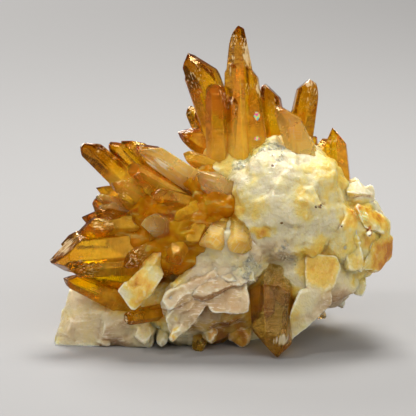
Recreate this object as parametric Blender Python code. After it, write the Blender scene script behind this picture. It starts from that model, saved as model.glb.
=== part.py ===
"""Golden healer quartz cluster: amber and pale quartz points grown out of a lump of milky quartz.

Run it with: blender --background --python part.py

The specimen is one piece of stone, so it is one solid. It is laid out on its show face, in millimetres:
across to the right, up the face, and out of it. The face leans back a little, and a flat at Z = 0 carries it.
"""

import math
import random
from collections import namedtuple

import bmesh
import bpy
from mathutils import Matrix, Vector, noise

MM = 0.001

# The show face: how far it leans back, and where its zero lies once the solid is centred over its base.
SHOW_LEAN = math.radians(12)
ACROSS = Vector((1, 0, 0))
UP = Vector((0, math.sin(SHOW_LEAN), math.cos(SHOW_LEAN)))
OUT = Vector((0, -math.cos(SHOW_LEAN), math.sin(SHOW_LEAN)))
FACE_ZERO = Vector((0.2, -33.4, -2.3))

# Quartz: the angle between a point's rhombohedral faces and the crystal's long axis.
POINT_ANGLE = math.radians(38.2)
FACES_ROUND = 6

# The milky quartz body.
VOXEL = 2.6
BODY_FACES = 2300
SWELL = (1 / 17, 2.0)  # broad swellings: per millimetre, height
LEDGE = (1 / 9, 1.3)  # broken ledges: per millimetre, height
KNOB = (1 / 6, 0.55)  # small knobs: per millimetre, height
LONGEST_SIDE = 400  # the stock that blocks and points are cut from

# A rounded lump of the body: centre and radii, each across, up and out.
Lump = namedtuple("Lump", "centre radii")
LUMPS = {
    "dome": Lump((24, 60, -14), (31, 27, 30)),
    "right_lobe": Lump((49, 49, -16), (18, 20, 22)),
    "left_shoulder": Lump((2, 70, -18), (15, 14, 18)),
    "heart": Lump((2, 45, -12), (25, 21, 24)),
    "spray_root": Lump((-20, 49, -15), (20, 17, 19)),
    "waist": Lump((-8, 20, -16), (28, 15, 20)),
    "foot": Lump((-42, 13, -24), (20, 11, 16)),
    "lower_right": Lump((35, 35, -14), (21, 16, 19)),
    "back": Lump((10, 45, -40), (33, 30, 19)),
    "back_foot": Lump((2, 13, -36), (26, 16, 20)),
}

# A broken block of milky quartz: its corners, each across, up and out.
BLOCKS = {
    "base_slab": (
        (-68, 6, -12), (-65, 3, -30), (-63, 27, -16), (-57, 29, -27), (-46, 27, -12),
        (-45, 4, -7), (-60, 14, -8), (-48, 16, -5), (-60, 21, -38), (-62, 6, -38),
        (-44, 4, -36), (-44, 24, -34),
    ),
    "base_step": (
        (-50, 4, -8), (-49, 24, -10), (-42, 28, -14), (-30, 24, -7), (-27, 4, -5), (-38, 16, -2),
        (-47, 12, -3), (-50, 22, -46), (-34, 20, -52), (-52, 4, -48), (-28, 2, -46), (-24, 24, -30),
    ),
    "base_heel": (
        (-58, 10, -34), (-56, 18, -44), (-46, 26, -42), (-36, 22, -54), (-40, 6, -58),
        (-56, 6, -50), (-30, 26, -38), (-26, 8, -48), (-44, 4, -30),
    ),
    "front_block": (
        (-3, 31, 8), (11, 34, 6), (11, 17, 12), (0, 16, 15), (-7, 24, 14),
        (8, 17, 0), (-8, 27, -4), (9, 33, -6), (-2, 18, 0),
    ),
    "ledge": (
        (-24, 24, 14), (-22, 29, 4), (-9, 39, 8), (11, 36, 10), (10, 31, 12),
        (-20, 17, 10), (-18, 20, 0), (6, 28, 0), (-10, 36, -4), (-6, 26, 15),
    ),
    "crest": (
        (-6, 80, -14), (0, 86, -10), (12, 88, -9), (24, 84, -10), (27, 76, -4),
        (-4, 74, -4), (10, 72, 8), (6, 76, -26), (22, 76, -26), (14, 82, -2),
    ),
    "collar": (
        (-18, 74, -10), (-9, 80, -12), (2, 80, -4), (0, 68, 4), (-12, 66, 4), (-8, 68, -18),
        (4, 72, -20), (-14, 70, -2),
    ),
}

# A quartz point: root and tip, each across, up and out, and its width across the flats at the shoulder.
# flare is the root's width over the shoulder's. turn is the bearing of one prism face, chisel that of a
# tip face that has outgrown the others, and bite how far; bearings run from the show face's side of the
# crystal, in degrees. snap is how much of the tip has broken away.
Point = namedtuple("Point", "root tip width flare turn chisel bite snap")


def point(root, tip, width, flare=1.1, turn=30, chisel=0, bite=0.0, snap=0.0):
    return Point(root, tip, width, flare, turn, chisel, bite, snap)


AMBER_POINTS = (
    # The upright crown.
    point((13, 72, -12), (6.8, 133.0, -15), 10.2, 2.1, 30, 90, 0.1),
    point((8, 74, -10), (2.6, 118.0, -12), 8.4, 1.3, 20, 90, 0.4),
    point((6, 74, -18), (-11.2, 123.4, -20), 12.8, 1.05, 15, 90, 0.6),
    point((2, 70, -9), (-1.6, 111.5, -6), 8.0, 1.3, 10, -60, 0.5),
    point((24, 70, -22), (18.2, 111, -25), 9.6, 1.2, 20, 90, 0.7),
    point((28, 72, -22), (36.2, 113.4, -25), 9.2, 1.25, 40, -90, 0.2, 1.4),
    point((47, 66, -12), (46.2, 92.6, -14), 8.8, 1.35, 25, 90, 0.8),
    point((6, 80, -22), (-17.6, 91.4, -21), 8.6, 1.2, 10, 90, 0.6),
    point((4, 76, -26), (-10.6, 100.4, -29), 6.6, 1.15, 30),
    point((7, 74, -8), (5.0, 107, -4), 6.4, 1.3, 0, 0, 0.4),
    point((14, 74, -8), (14.0, 101, -3), 7.0, 1.25, 15, 0, 0.5),
    # The left spray, from its top to its foot.
    point((-22, 55, -12), (-56.4, 87.0, -12), 9.6, 1.05, 25, 90, 0.3, 0.9),
    point((-20, 60, -18), (-45.6, 87.0, -17), 7.2, 1.15, 10, 90, 0.4),
    point((-16, 62, -18), (-39.4, 88.4, -21), 9.6, 1.1, 40, 90, 0.7),
    point((-12, 66, -14), (-33.4, 86.6, -11), 8.4, 1.1, 20, 90, 1.0),
    point((-14, 62, -2), (-37.6, 77.2, -3), 6.4, 1.15, 10, 0, 0.5),
    point((-14, 60, 0), (-35.4, 73.2, 5), 5.6, 1.1, 35),
    point((-8, 60, -2), (-28.8, 66, 9), 6.8, 1.1, 20, 90, 0.5),
    point((1, 75, -6), (-15.6, 81.2, -7), 5.6, 1.2, 15, -90, 0.4),
    point((-22, 54, -8), (-49.8, 68.4, -6), 7.0, 1.1, 5, 90, 0.5),
    point((-24, 54, -12), (-54.2, 71.8, -14), 5.6, 1.15, 30, 90, 0.4),
    point((-28, 53, -10), (-52.8, 62.2, -10), 4.6, 1.1, 30),
    point((-28, 50, -10), (-56.2, 57.0, -11), 5.0, 1.15, 15, 90, 0.5),
    point((-30, 46, -8), (-65.4, 46.4, -5), 8.4, 1.25, 10, 90, 0.9),
    point((-28, 45, -4), (-67.8, 40.4, 3), 11.6, 1.3, 30, 90, 0.5),
    point((-30, 38, 0), (-61.0, 35.0, 5), 6.4, 1.2, 20, -90, 0.4),
    point((-26, 30, -12), (-58.0, 34.0, -8), 7.4, 1.3, 10, 90, 0.4),
    point((-30, 18, -10), (-63.2, 32.2, -2), 6.6, 1.5, 20, 90, 0.7),
    point((-20, 19, -6), (-39.8, 15.8, 7), 5.6, 1.1, 0, 0, 0.2, 1.5),
    point((-14, 52, 0), (-20.4, 36.6, 20), 7.8, 1.15, 15, 180, 0.6),
    point((-6, 58, 2), (-13.2, 45.6, 17), 7.4, 1.2, 0, 180, 0.3),
    point((-4, 62, 0), (-19, 55.2, 13), 6.6, 1.2, 25),
    point((-24, 46, 0), (-38.4, 37.6, 13), 7.0, 1.2, 15, 90, 0.4),
    # Down in the shade under the front.
    point((17, 30, -8), (16.2, 12.4, -3), 7.6, 1.2, 20),
    point((24, 32, -8), (25, 19.4, 1), 7.8, 1.2, 0, 0, 0.3),
    point((6, 20, -14), (8.0, 3.2, -6), 9.6, 1.25, 20, 0, 0.6),
    point((-9, 24, 0), (-20, 7.2, 12), 5.8, 1.3, 30, 0, 0.3),
    point((-6, 16, -8), (-4.6, 6.4, 2), 6.4, 1.2, 10),
    # The back of the crown and of the left spray.
    point((12, 78, -30), (8.0, 116, -47), 10.2, 1.25, 20, 0, 0.5),
    point((2, 74, -34), (-12.0, 102, -53), 9.0, 1.15, 35, 90, 0.5),
    point((24, 72, -36), (33.0, 99, -57), 9.4, 1.2, 10, 180, 0.6),
    point((34, 66, -38), (48.4, 84, -53), 7.8, 1.15, 25, 90, 0.4),
    point((12, 66, -46), (11.2, 86, -66), 8.2, 1.2, 15, 180, 0.7),
    point((-10, 62, -32), (-34.0, 84, -45), 8.6, 1.15, 20, 90, 0.7),
    point((-18, 54, -32), (-47.6, 68, -43), 7.8, 1.15, 30, 90, 0.6),
    point((-20, 46, -34), (-50.2, 48, -47), 8.8, 1.2, 5, 90, 0.5),
    point((-14, 40, -42), (-35.4, 40, -61), 7.2, 1.15, 25, 180, 0.5),
    point((-8, 54, -44), (-21.6, 66, -63), 7.6, 1.2, 15, 180, 0.4),
)

PALE_POINTS = (
    # The front: from under the crown down to the floor.
    point((38, 68, -5), (24.4, 101.8, -6), 9.6, 1.3, 20, 90, 1.0),
    point((30, 70, -6), (29.0, 96, -2), 7.0, 1.3, 10, 0, 0.7),
    point((-6, 67, -2), (-32.8, 84.6, -1), 8.8, 1.1, 30, 90, 0.8),
    point((2, 66, 2), (-9.0, 73.4, 10), 8.4, 1.25, 25, 0, 0.4),
    point((-32, 56, -4), (-56.8, 51.4, 2), 4.8, 1.3, 10, 90, 0.5),
    point((-12, 52, 0), (-32.4, 53.2, 14), 9.4, 1.15, 0, 0, 1.3),
    point((-30, 58, -6), (-50.6, 64.2, -1), 4.6, 1.2, 25),
    point((-20, 48, 0), (-40.0, 21.6, 16), 9.8, 1.15, 25, 90, 0.9),
    point((2, 54, 4), (-4.0, 40.4, 22), 9.0, 1.15, 15, 180, 0.5),
    point((8, 56, 4), (7.2, 38.8, 23), 9.2, 1.1, 0, 180, 0.6),
    point((10, 36, 2), (-24.0, 22.4, 15), 7.4, 1.2, 20, 0, 1.4),
    point((28, 34, -8), (22.4, 0.9, 10.6), 17.5, 1.12, 8, 0, 0.0),
    point((41, 47, -2), (38.6, 27.2, 9), 13.0, 1.15, 0, 0, 1.2),
    point((-30, 16, -14), (-31.2, 6.4, 1), 7.4, 1.2, 15),
    point((-22, 14, -10), (-25.0, 4.4, -1), 4.2, 1.3, 30),
    # The right lobe.
    point((48, 56, -8), (60.8, 68.4, -6), 8.4, 1.25, 15, 0, 0.8),
    point((52, 52, -12), (65.0, 58.0, -10), 8.6, 1.2, 25, 90, 0.8),
    point((48, 60, -14), (54.6, 72.4, -12), 6.4, 1.2, 5),
    point((50, 52, -4), (58.8, 58.6, 9), 8.8, 1.2, 20, 0, 0.9),
    point((54, 48, -6), (58.8, 50.0, 10), 3.8, 1.4, 0),
    point((52, 49, -12), (66.0, 40.4, -5), 12.0, 1.15, 20, -60, 0.8),
    point((50, 40, -16), (57.2, 25.2, -6), 8.0, 1.2, 10, 0, 0.6),
    point((40, 34, -20), (47.6, 19.4, -16), 8.8, 1.2, 30, 90, 0.7),
    # The back.
    point((40, 50, -34), (60.4, 56, -45), 9.6, 1.2, 20, 90, 0.8),
    point((30, 40, -46), (43.0, 35, -65), 9.4, 1.2, 10, 180, 0.9),
    point((8, 44, -50), (9.0, 50, -70), 10.2, 1.15, 25, 180, 0.6),
    point((-10, 24, -44), (-20.6, 26, -62), 9.2, 1.2, 15, 180, 0.7),
    point((14, 20, -46), (18.4, 15, -63), 9.0, 1.2, 5, 0, 0.8),
    point((30, 26, -34), (42.6, 14, -43), 8.8, 1.2, 25, 90, 0.5),
)

# A bed of small points: the lump it grows on, which way from the lump's middle, how wide a cone, how many,
# their lengths and their widths.
Bed = namedtuple("Bed", "lump aim spread count lengths widths")
BEDS = (
    Bed("spray_root", (-0.7, 0.1, 1.0), 34, 6, (6, 10), (5.2, 7.6)),
    Bed("spray_root", (-0.9, 0.5, 0.2), 34, 7, (12, 18), (3.8, 5.6)),
    Bed("right_lobe", (0.6, -0.1, 0.9), 40, 6, (0, 3), (5.0, 8.0)),
    Bed("dome", (0.4, 1.0, -1.0), 30, 7, (7, 13), (4.0, 6.4)),
    Bed("back", (-0.6, 0.6, -0.8), 34, 10, (7, 17), (4.2, 8.4)),
    Bed("back", (0.8, 0.0, -0.6), 36, 6, (3, 8), (4.6, 7.4)),
    Bed("waist", (-0.2, -0.5, 1.0), 30, 3, (5, 8), (3.6, 5.2)),
    Bed("foot", (-0.2, 0.6, -1.0), 40, 6, (4, 8), (3.6, 6.4)),
)
BED_SEED = 7
ROOT_DEPTH = 0.72  # how far out a small point starts, as a share of its lump's radius


def on_face(across, up, out):
    """A place on the show face, in metres from the solid's origin."""
    return (FACE_ZERO + across * ACROSS + up * UP + out * OUT) * MM


def cut_block(planes):
    """The convex block that lies behind every plane, each a point and its outward normal in millimetres."""
    bm = bmesh.new()
    bmesh.ops.create_cube(bm, size=LONGEST_SIDE)
    for place, normal in planes:
        whole = bm.verts[:] + bm.edges[:] + bm.faces[:]
        cut = bmesh.ops.bisect_plane(
            bm, geom=whole, dist=1e-5, plane_co=place, plane_no=normal, clear_outer=True
        )
        rim = [e for e in cut["geom_cut"] if isinstance(e, bmesh.types.BMEdge)]
        if len(rim) > 2:
            bmesh.ops.contextual_create(bm, geom=rim)
    bmesh.ops.recalc_face_normals(bm, faces=bm.faces)
    return bm


def crystal_frame(root, tip):
    """The rotation that stands a crystal on its axis, its first bearing turned to the show face."""
    along = (tip - root).normalized()
    facing = OUT if abs(OUT.dot(along)) < 0.96 else UP
    front = (facing - facing.dot(along) * along).normalized()
    return Matrix((front, along.cross(front), along)).transposed()


def quartz_point(p, seed):
    """One quartz crystal: six prism faces, then six tip faces of unequal size, large and small in turn."""
    root = Vector(p.root)
    tip = Vector(p.tip)
    length = (tip - root).length
    inner = p.width / 2
    shoulder = length - inner / math.tan(POINT_ANGLE)
    slope = (p.flare - 1) * inner / max(shoulder, inner)
    draw = random.Random(seed)
    planes = [((0, 0, 0), (0, 0, -1))]
    nearest = min(
        range(FACES_ROUND), key=lambda k: math.cos(math.radians(p.turn + 60 * k - p.chisel + 180))
    )
    for k in range(FACES_ROUND):
        bearing = math.radians(p.turn + 60 * k + draw.uniform(-3, 3))
        outward = Vector((math.cos(bearing), math.sin(bearing), 0))
        reach = inner * draw.uniform(0.88, 1.12) + slope * shoulder
        planes.append((outward * reach, outward + Vector((0, 0, slope))))
        rise = draw.uniform(0, 0.2) if k % 2 == 0 else draw.uniform(0.2, 0.6)
        if k == nearest:
            rise = -p.bite
        lean = outward * math.cos(POINT_ANGLE) + Vector((0, 0, math.sin(POINT_ANGLE)))
        planes.append(((0, 0, length + (rise + p.bite / 2) * inner), lean))
    if p.snap:
        planes.append(((0, 0, length - p.snap), (draw.uniform(-0.3, 0.3), draw.uniform(-0.3, 0.3), 1)))
    bm = cut_block(planes)
    turned = crystal_frame(on_face(*root), on_face(*tip)).to_4x4()
    bm.transform(Matrix.Translation(on_face(*root)) @ turned @ Matrix.Scale(MM, 4))
    return bm


def small_points():
    """The points of every bed, placed on their lump and aimed between its surface and the bed's own aim."""
    draw = random.Random(BED_SEED)
    grown = []
    for bed in BEDS:
        centre, radii = (Vector(v) for v in LUMPS[bed.lump])
        aim = Vector(bed.aim).normalized()
        for _ in range(bed.count):
            swing = math.radians(bed.spread * math.sqrt(draw.random()))
            around = draw.uniform(0, math.tau)
            side = aim.orthogonal().normalized()
            side.rotate(Matrix.Rotation(around, 3, aim))
            way = aim * math.cos(swing) + side * math.sin(swing)
            surface = Vector(w * r for w, r in zip(way, radii))
            normal = Vector(w / r for w, r in zip(way, radii)).normalized()
            heading = (normal + 0.6 * aim).normalized()
            root = centre + surface * ROOT_DEPTH
            tip = centre + surface + heading * draw.uniform(*bed.lengths)
            width = draw.uniform(*bed.widths)
            grown.append(point(root, tip, width, 1.2, draw.uniform(0, 60), 0, draw.uniform(0, 0.9)))
    return grown


def joined_object(name, parts):
    """One object from several bmeshes, whose shapes may cross each other."""
    mesh = bpy.data.meshes.new(name)
    whole = bmesh.new()
    for part in parts:
        part.to_mesh(mesh)
        part.free()
        whole.from_mesh(mesh)
    whole.to_mesh(mesh)
    whole.free()
    obj = bpy.data.objects.new(name, mesh)
    bpy.context.collection.objects.link(obj)
    return obj


def apply_modifiers(obj):
    """Puts what the modifiers make into the object's own mesh."""
    graph = bpy.context.evaluated_depsgraph_get()
    made = bpy.data.meshes.new_from_object(obj.evaluated_get(graph))
    obj.modifiers.clear()
    obj.data = made


def lump_ball(lump):
    bm = bmesh.new()
    bmesh.ops.create_icosphere(bm, subdivisions=3, radius=1)
    axes = Matrix((ACROSS, UP, OUT)).transposed().to_4x4()
    size = Matrix.Diagonal((*(r * MM for r in lump.radii), 1))
    bm.transform(Matrix.Translation(on_face(*lump.centre)) @ axes @ size)
    return bm


def block_hull(corners):
    bm = bmesh.new()
    for corner in corners:
        bm.verts.new(on_face(*corner))
    hull = bmesh.ops.convex_hull(bm, input=bm.verts[:])
    spare = [v for v in hull["geom_interior"] if isinstance(v, bmesh.types.BMVert)]
    bmesh.ops.delete(bm, geom=spare, context="VERTS")
    bmesh.ops.recalc_face_normals(bm, faces=bm.faces)
    return bm


def relief(place):
    """How far the milky quartz stands out of its smooth form at a place, in metres."""
    spot = place / MM
    swell = noise.noise(spot * SWELL[0]) * SWELL[1]
    ledge = (noise.cell(spot * LEDGE[0]) - 0.5) * LEDGE[1]
    knob = noise.noise(spot * KNOB[0]) * KNOB[1]
    return (swell + ledge + knob) * MM


def milky_body():
    """The lumps melted into one rough body with flat broken facets."""
    body = joined_object("body", [lump_ball(lump) for lump in LUMPS.values()])
    melt = body.modifiers.new("melt", "REMESH")
    melt.mode = "VOXEL"
    melt.voxel_size = VOXEL * MM
    apply_modifiers(body)
    moved = [v.co + v.normal * relief(v.co) for v in body.data.vertices]
    for vertex, place in zip(body.data.vertices, moved):
        vertex.co = place
    thin = body.modifiers.new("thin", "DECIMATE")
    thin.ratio = BODY_FACES / (2 * len(body.data.polygons))
    apply_modifiers(body)
    return body


def unite(body, grown):
    """Joins the points and blocks to the body, and cuts the whole off flat at the floor."""
    join = body.modifiers.new("join", "BOOLEAN")
    join.operation = "UNION"
    join.use_self = True
    join.object = grown
    apply_modifiers(body)
    bm = bmesh.new()
    bm.from_mesh(body.data)
    whole = bm.verts[:] + bm.edges[:] + bm.faces[:]
    cut = bmesh.ops.bisect_plane(
        bm, geom=whole, dist=1e-6, plane_co=(0, 0, 0), plane_no=(0, 0, -1), clear_outer=True
    )
    rim = [e for e in cut["geom_cut"] if isinstance(e, bmesh.types.BMEdge)]
    bmesh.ops.triangle_fill(bm, use_beauty=True, edges=rim)
    keep_outer_skin(bm)
    bmesh.ops.recalc_face_normals(bm, faces=bm.faces)
    bm.to_mesh(body.data)
    bm.free()


def keep_outer_skin(bm):
    """Drops the skins of small voids that crossing crystals have sealed in."""
    left = set(bm.faces)
    skins = []
    while left:
        skin = {left.pop()}
        edge_of_skin = list(skin)
        while edge_of_skin:
            face = edge_of_skin.pop()
            near = {f for e in face.edges for f in e.link_faces} & left
            left -= near
            skin |= near
            edge_of_skin.extend(near)
        skins.append(skin)
    skins.sort(key=len)
    spare = [face for skin in skins[:-1] for face in skin]
    bmesh.ops.delete(bm, geom=spare, context="FACES")


def golden_quartz():
    material = bpy.data.materials.new("golden quartz")
    material.use_nodes = True
    surface = material.node_tree.nodes["Principled BSDF"]
    surface.inputs["Base Color"].default_value = (0.62, 0.36, 0.09, 1)
    surface.inputs["Roughness"].default_value = 0.15
    surface.inputs["Metallic"].default_value = 0.0
    surface.inputs["IOR"].default_value = 1.544
    return material


def build():
    for old in list(bpy.data.objects):
        bpy.data.objects.remove(old)
    points = list(AMBER_POINTS) + list(PALE_POINTS) + small_points()
    crystals = [quartz_point(p, seed) for seed, p in enumerate(points)]
    blocks = [block_hull(corners) for corners in BLOCKS.values()]
    body = milky_body()
    grown = joined_object("grown", crystals + blocks)
    unite(body, grown)
    bpy.data.objects.remove(grown)
    body.name = "quartz_cluster"
    body.data.materials.clear()
    body.data.materials.append(golden_quartz())


build()
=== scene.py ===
"""Looks of the golden healer quartz cluster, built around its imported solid."""

import math
import random
from collections import namedtuple

import bmesh
import bpy
import numpy as np
from mathutils import Matrix, Vector, noise


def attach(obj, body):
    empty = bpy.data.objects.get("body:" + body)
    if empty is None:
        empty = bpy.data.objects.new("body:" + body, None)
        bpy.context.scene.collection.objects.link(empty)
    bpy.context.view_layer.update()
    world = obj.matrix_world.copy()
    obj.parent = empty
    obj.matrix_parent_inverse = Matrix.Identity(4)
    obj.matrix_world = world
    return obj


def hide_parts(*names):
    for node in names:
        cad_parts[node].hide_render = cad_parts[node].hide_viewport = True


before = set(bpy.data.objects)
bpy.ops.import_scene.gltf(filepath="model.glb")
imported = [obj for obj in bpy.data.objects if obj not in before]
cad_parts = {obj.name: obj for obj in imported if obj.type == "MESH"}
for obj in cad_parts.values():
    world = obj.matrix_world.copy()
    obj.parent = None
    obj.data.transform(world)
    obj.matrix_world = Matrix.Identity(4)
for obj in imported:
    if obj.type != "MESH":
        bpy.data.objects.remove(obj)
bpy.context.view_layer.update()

MM = 0.001
BODY = "root"
NODE = "quartz_cluster"

# ---------------- the specimen's own frame, in millimetres
# across to the right, up the show face and out of it; the face leans back, and the flat foot is at Z = 0.
SHOW_LEAN = math.radians(12)
ACROSS = Vector((1, 0, 0))
UP = Vector((0, math.sin(SHOW_LEAN), math.cos(SHOW_LEAN)))
OUT = Vector((0, -math.cos(SHOW_LEAN), math.sin(SHOW_LEAN)))
FACE_ZERO = Vector((0.2, -33.4, -2.3))  # where the show face's own zero lies
SHOW_FRAME = Matrix((ACROSS, UP, OUT)).transposed().to_4x4()
POINT_ANGLE = math.radians(38.2)  # quartz: between a tip face and the long axis
FACES_ROUND = 6
EACH_TURN = 360 / FACES_ROUND
ALONG = Vector((0, 0, 1))  # a crystal's own axis
LONGEST_SIDE = 400  # of the cube that every block is cut from
NEARLY_ALONG = 0.96  # the cosine over which a crystal points out of the show face

# Added to a crystal's seed, so that each kind of draw has its own.
SMALL_FACES, TONE, STEEP_FACES, SIDE_CRYSTALS, SIDE_HABIT = 300, 500, 700, 900, 40
MILKY_SEED = 202

# The milky quartz body.
SWELL = (1 / 17, 2.0)  # broad swellings: per millimetre, height
LEDGE = (1 / 9, 1.3)  # broken ledges: per millimetre, height
KNOB = (1 / 6, 0.55)  # small knobs: per millimetre, height

# A rounded lump of the body: centre and radii, each across, up and out.
Lump = namedtuple("Lump", "centre radii")


def each(kind, *rows):
    """Rows of figures as named tuples of one kind."""
    return tuple(kind(*row) for row in rows)


LUMPS = {
    "dome": Lump((24, 60, -14), (31, 27, 30)),
    "right_lobe": Lump((49, 49, -16), (18, 20, 22)),
    "left_shoulder": Lump((2, 70, -18), (15, 14, 18)),
    "heart": Lump((2, 45, -12), (25, 21, 24)),
    "spray_root": Lump((-20, 49, -15), (20, 17, 19)),
    "waist": Lump((-8, 20, -16), (28, 15, 20)),
    "foot": Lump((-42, 13, -24), (20, 11, 16)),
    "lower_right": Lump((35, 35, -14), (21, 16, 19)),
    "back": Lump((10, 45, -40), (33, 30, 19)),
    "back_foot": Lump((2, 13, -36), (26, 16, 20)),
}

# The clear golden quartz that the left spray's points stand in.
GOLD_LUMPS = each(
    Lump,
    ((-14, 50, 1), (17, 12, 12)),
    ((-27, 45, -1), (12, 10, 11)),
    ((-2, 61, 0), (12, 8, 11)),
    ((-18, 40, 3), (9, 8, 9)),
    ((-8, 70, -4), (10, 6, 9)),
    ((-24, 57, -2), (14, 10, 12)),
    ((-37, 49, -5), (11, 8, 10)),
)

# Broken blocks of milky quartz that melt into the body: their corners, each across, up and out.
BLOCKS = {
    "ledge": (
        (-24, 24, 14), (-22, 29, 4), (-9, 39, 8), (11, 36, 10), (10, 31, 12),
        (-20, 17, 10), (-18, 20, 0), (6, 28, 0), (-10, 36, -4), (-6, 26, 15),
    ),
    "crest": (
        (-6, 80, -14), (0, 86, -10), (12, 88, -9), (24, 84, -10), (27, 76, -4),
        (-4, 74, -4), (10, 72, 8), (6, 76, -26), (22, 76, -26), (14, 82, -2),
    ),
    "collar": (
        (-18, 74, -10), (-9, 80, -12), (2, 80, -4), (0, 68, 4), (-12, 66, 4), (-8, 68, -18),
        (4, 72, -20), (-14, 70, -2),
    ),
}

# A quartz point: root and tip, each across, up and out, and its width across the flats at the shoulder.
# flare is the root's width over the shoulder's. turn is the bearing of one prism face, chisel that of a
# tip face that has outgrown the others, and bite how far; bearings run from the show face's side of the
# crystal, in degrees. snap is how much of the tip has broken away, and sides how many parallel crystals
# have grown on its flanks; -1 leaves that to chance.
Point = namedtuple(
    "Point", "root tip width flare turn chisel bite snap sides", defaults=(1.1, 30, 0, 0.0, 0.0, -1)
)

AMBER_POINTS = each(
    Point,
    # The upright crown.
    ((9, 72, -13), (6.4, 134.2, -15), 6.8, 3.1, 30, -90, 0.3, 0, 1),
    ((6, 74, -11), (3.8, 119.4, -12), 6.8, 1.5, 30, -90, 0.4, 0, 0),
    ((6, 74, -18), (-11.2, 123.4, -20), 12.8, 1.05, 15, 90, 0.6),
    ((-1, 70, -9), (-2.6, 111.2, -7), 7.8, 1.15, 0, 0, 0.2, 1.5, 0),
    ((24, 70, -22), (18.2, 112, -25), 10.0, 1.2, 20, 90, 0.8, 1.3),
    ((28, 72, -22), (36.2, 113.4, -25), 9.2, 1.25, 40, -90, 0.2, 1.4),
    ((47, 66, -12), (46.2, 92.6, -14), 8.8, 1.35, 25, 90, 0.8),
    ((6, 80, -22), (-17.6, 91.4, -21), 8.6, 1.2, 10, 90, 0.6),
    ((4, 76, -26), (-10.6, 100.4, -29), 6.6, 1.15, 30),
    ((5, 74, -9), (5.0, 106, -9.6), 7.6, 1.3, 30, 90, 0.2, 0, 0),
    ((13, 72, -8), (11.2, 118, -11.4), 6.6, 1.9, 20, 90, 0.8, 0, 0),
    # The left spray, from its top to its foot.
    ((-22, 55, -12), (-56.4, 87.0, -12), 9.6, 1.05, 25, 90, 0.3, 0.9),
    ((-20, 60, -18), (-45.6, 87.0, -17), 7.2, 1.15, 10, 90, 0.4),
    ((-16, 62, -18), (-39.4, 88.4, -21), 9.6, 1.1, 40, 90, 0.7),
    ((-12, 66, -14), (-33.4, 86.6, -11), 8.4, 1.1, 20, 90, 1.0),
    ((-14, 62, -2), (-37.6, 77.2, -3), 6.4, 1.15, 10, 0, 0.5),
    ((-14, 60, 0), (-35.4, 73.2, 5), 5.6, 1.1, 35),
    ((-8, 60, -2), (-28.8, 66, 9), 6.8, 1.1, 20, 90, 0.5),
    ((1, 75, -6), (-15.6, 81.2, -7), 5.6, 1.2, 15, -90, 0.4),
    ((-22, 54, -8), (-47.0, 66.4, -4), 9.0, 1.1, 5, 90, 0.9),
    ((-24, 54, -12), (-51.2, 69.0, -12), 7.4, 1.15, 30, 90, 0.8),
    ((-28, 53, -10), (-52.8, 62.2, -9), 6.4, 1.1, 30, 0, 0.6),
    ((-28, 50, -10), (-56.0, 57.4, -10), 6.6, 1.15, 15, 90, 0.8),
    ((-30, 46, -8), (-65.4, 46.4, -5), 8.4, 1.25, 10, 90, 0.9),
    ((-28, 44, -5), (-67.8, 40.6, 3), 14.4, 1.2, 10, 90, 0.7, 0, 0),
    ((-30, 38, 0), (-61.0, 35.0, 5), 6.4, 1.2, 20, -90, 0.4),
    ((-26, 30, -12), (-58.0, 34.0, -8), 7.4, 1.3, 10, 90, 0.4),
    ((-30, 18, -10), (-63.2, 32.2, -2), 6.6, 1.5, 20, 90, 0.7),
    ((-20, 19, -6), (-39.8, 15.8, 7), 5.6, 1.1, 0, 0, 0.2, 1.5),
    ((-14, 52, 0), (-20.4, 37.2, 16), 7.8, 1.15, 15, 180, 0.6),
    ((-6, 58, 2), (-13.2, 46.2, 14.4), 7.4, 1.2, 0, 180, 0.3),
    ((-4, 62, 0), (-19, 55.2, 11.6), 6.6, 1.2, 25),
    ((-24, 46, 0), (-38.4, 37.6, 13), 7.0, 1.2, 15, 90, 0.4),
    # Down in the shade under the front.
    ((17, 30, -8), (16.2, 12.4, -3), 7.6, 1.2, 20),
    ((24, 32, -8), (25, 19.4, 1), 7.8, 1.2, 0, 0, 0.3),
    # The back of the crown and of the left spray.
    ((12, 78, -30), (8.0, 116, -47), 10.2, 1.25, 20, 0, 0.5),
    ((2, 74, -34), (-12.0, 102, -53), 9.0, 1.15, 35, 90, 0.5),
    ((24, 72, -36), (33.0, 99, -57), 9.4, 1.2, 10, 180, 0.6),
    ((34, 66, -38), (48.4, 84, -53), 7.8, 1.15, 25, 90, 0.4),
    ((12, 66, -46), (11.2, 86, -66), 8.2, 1.2, 15, 180, 0.7),
    ((-10, 62, -32), (-34.0, 84, -45), 8.6, 1.15, 20, 90, 0.7),
    ((-18, 54, -32), (-47.6, 68, -43), 7.8, 1.15, 30, 90, 0.6),
    ((-20, 46, -34), (-50.2, 48, -47), 8.8, 1.2, 5, 90, 0.5),
    ((-14, 40, -42), (-35.4, 40, -61), 7.2, 1.15, 25, 180, 0.5),
    ((-8, 54, -44), (-21.6, 66, -63), 7.6, 1.2, 15, 180, 0.4),
)

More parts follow.
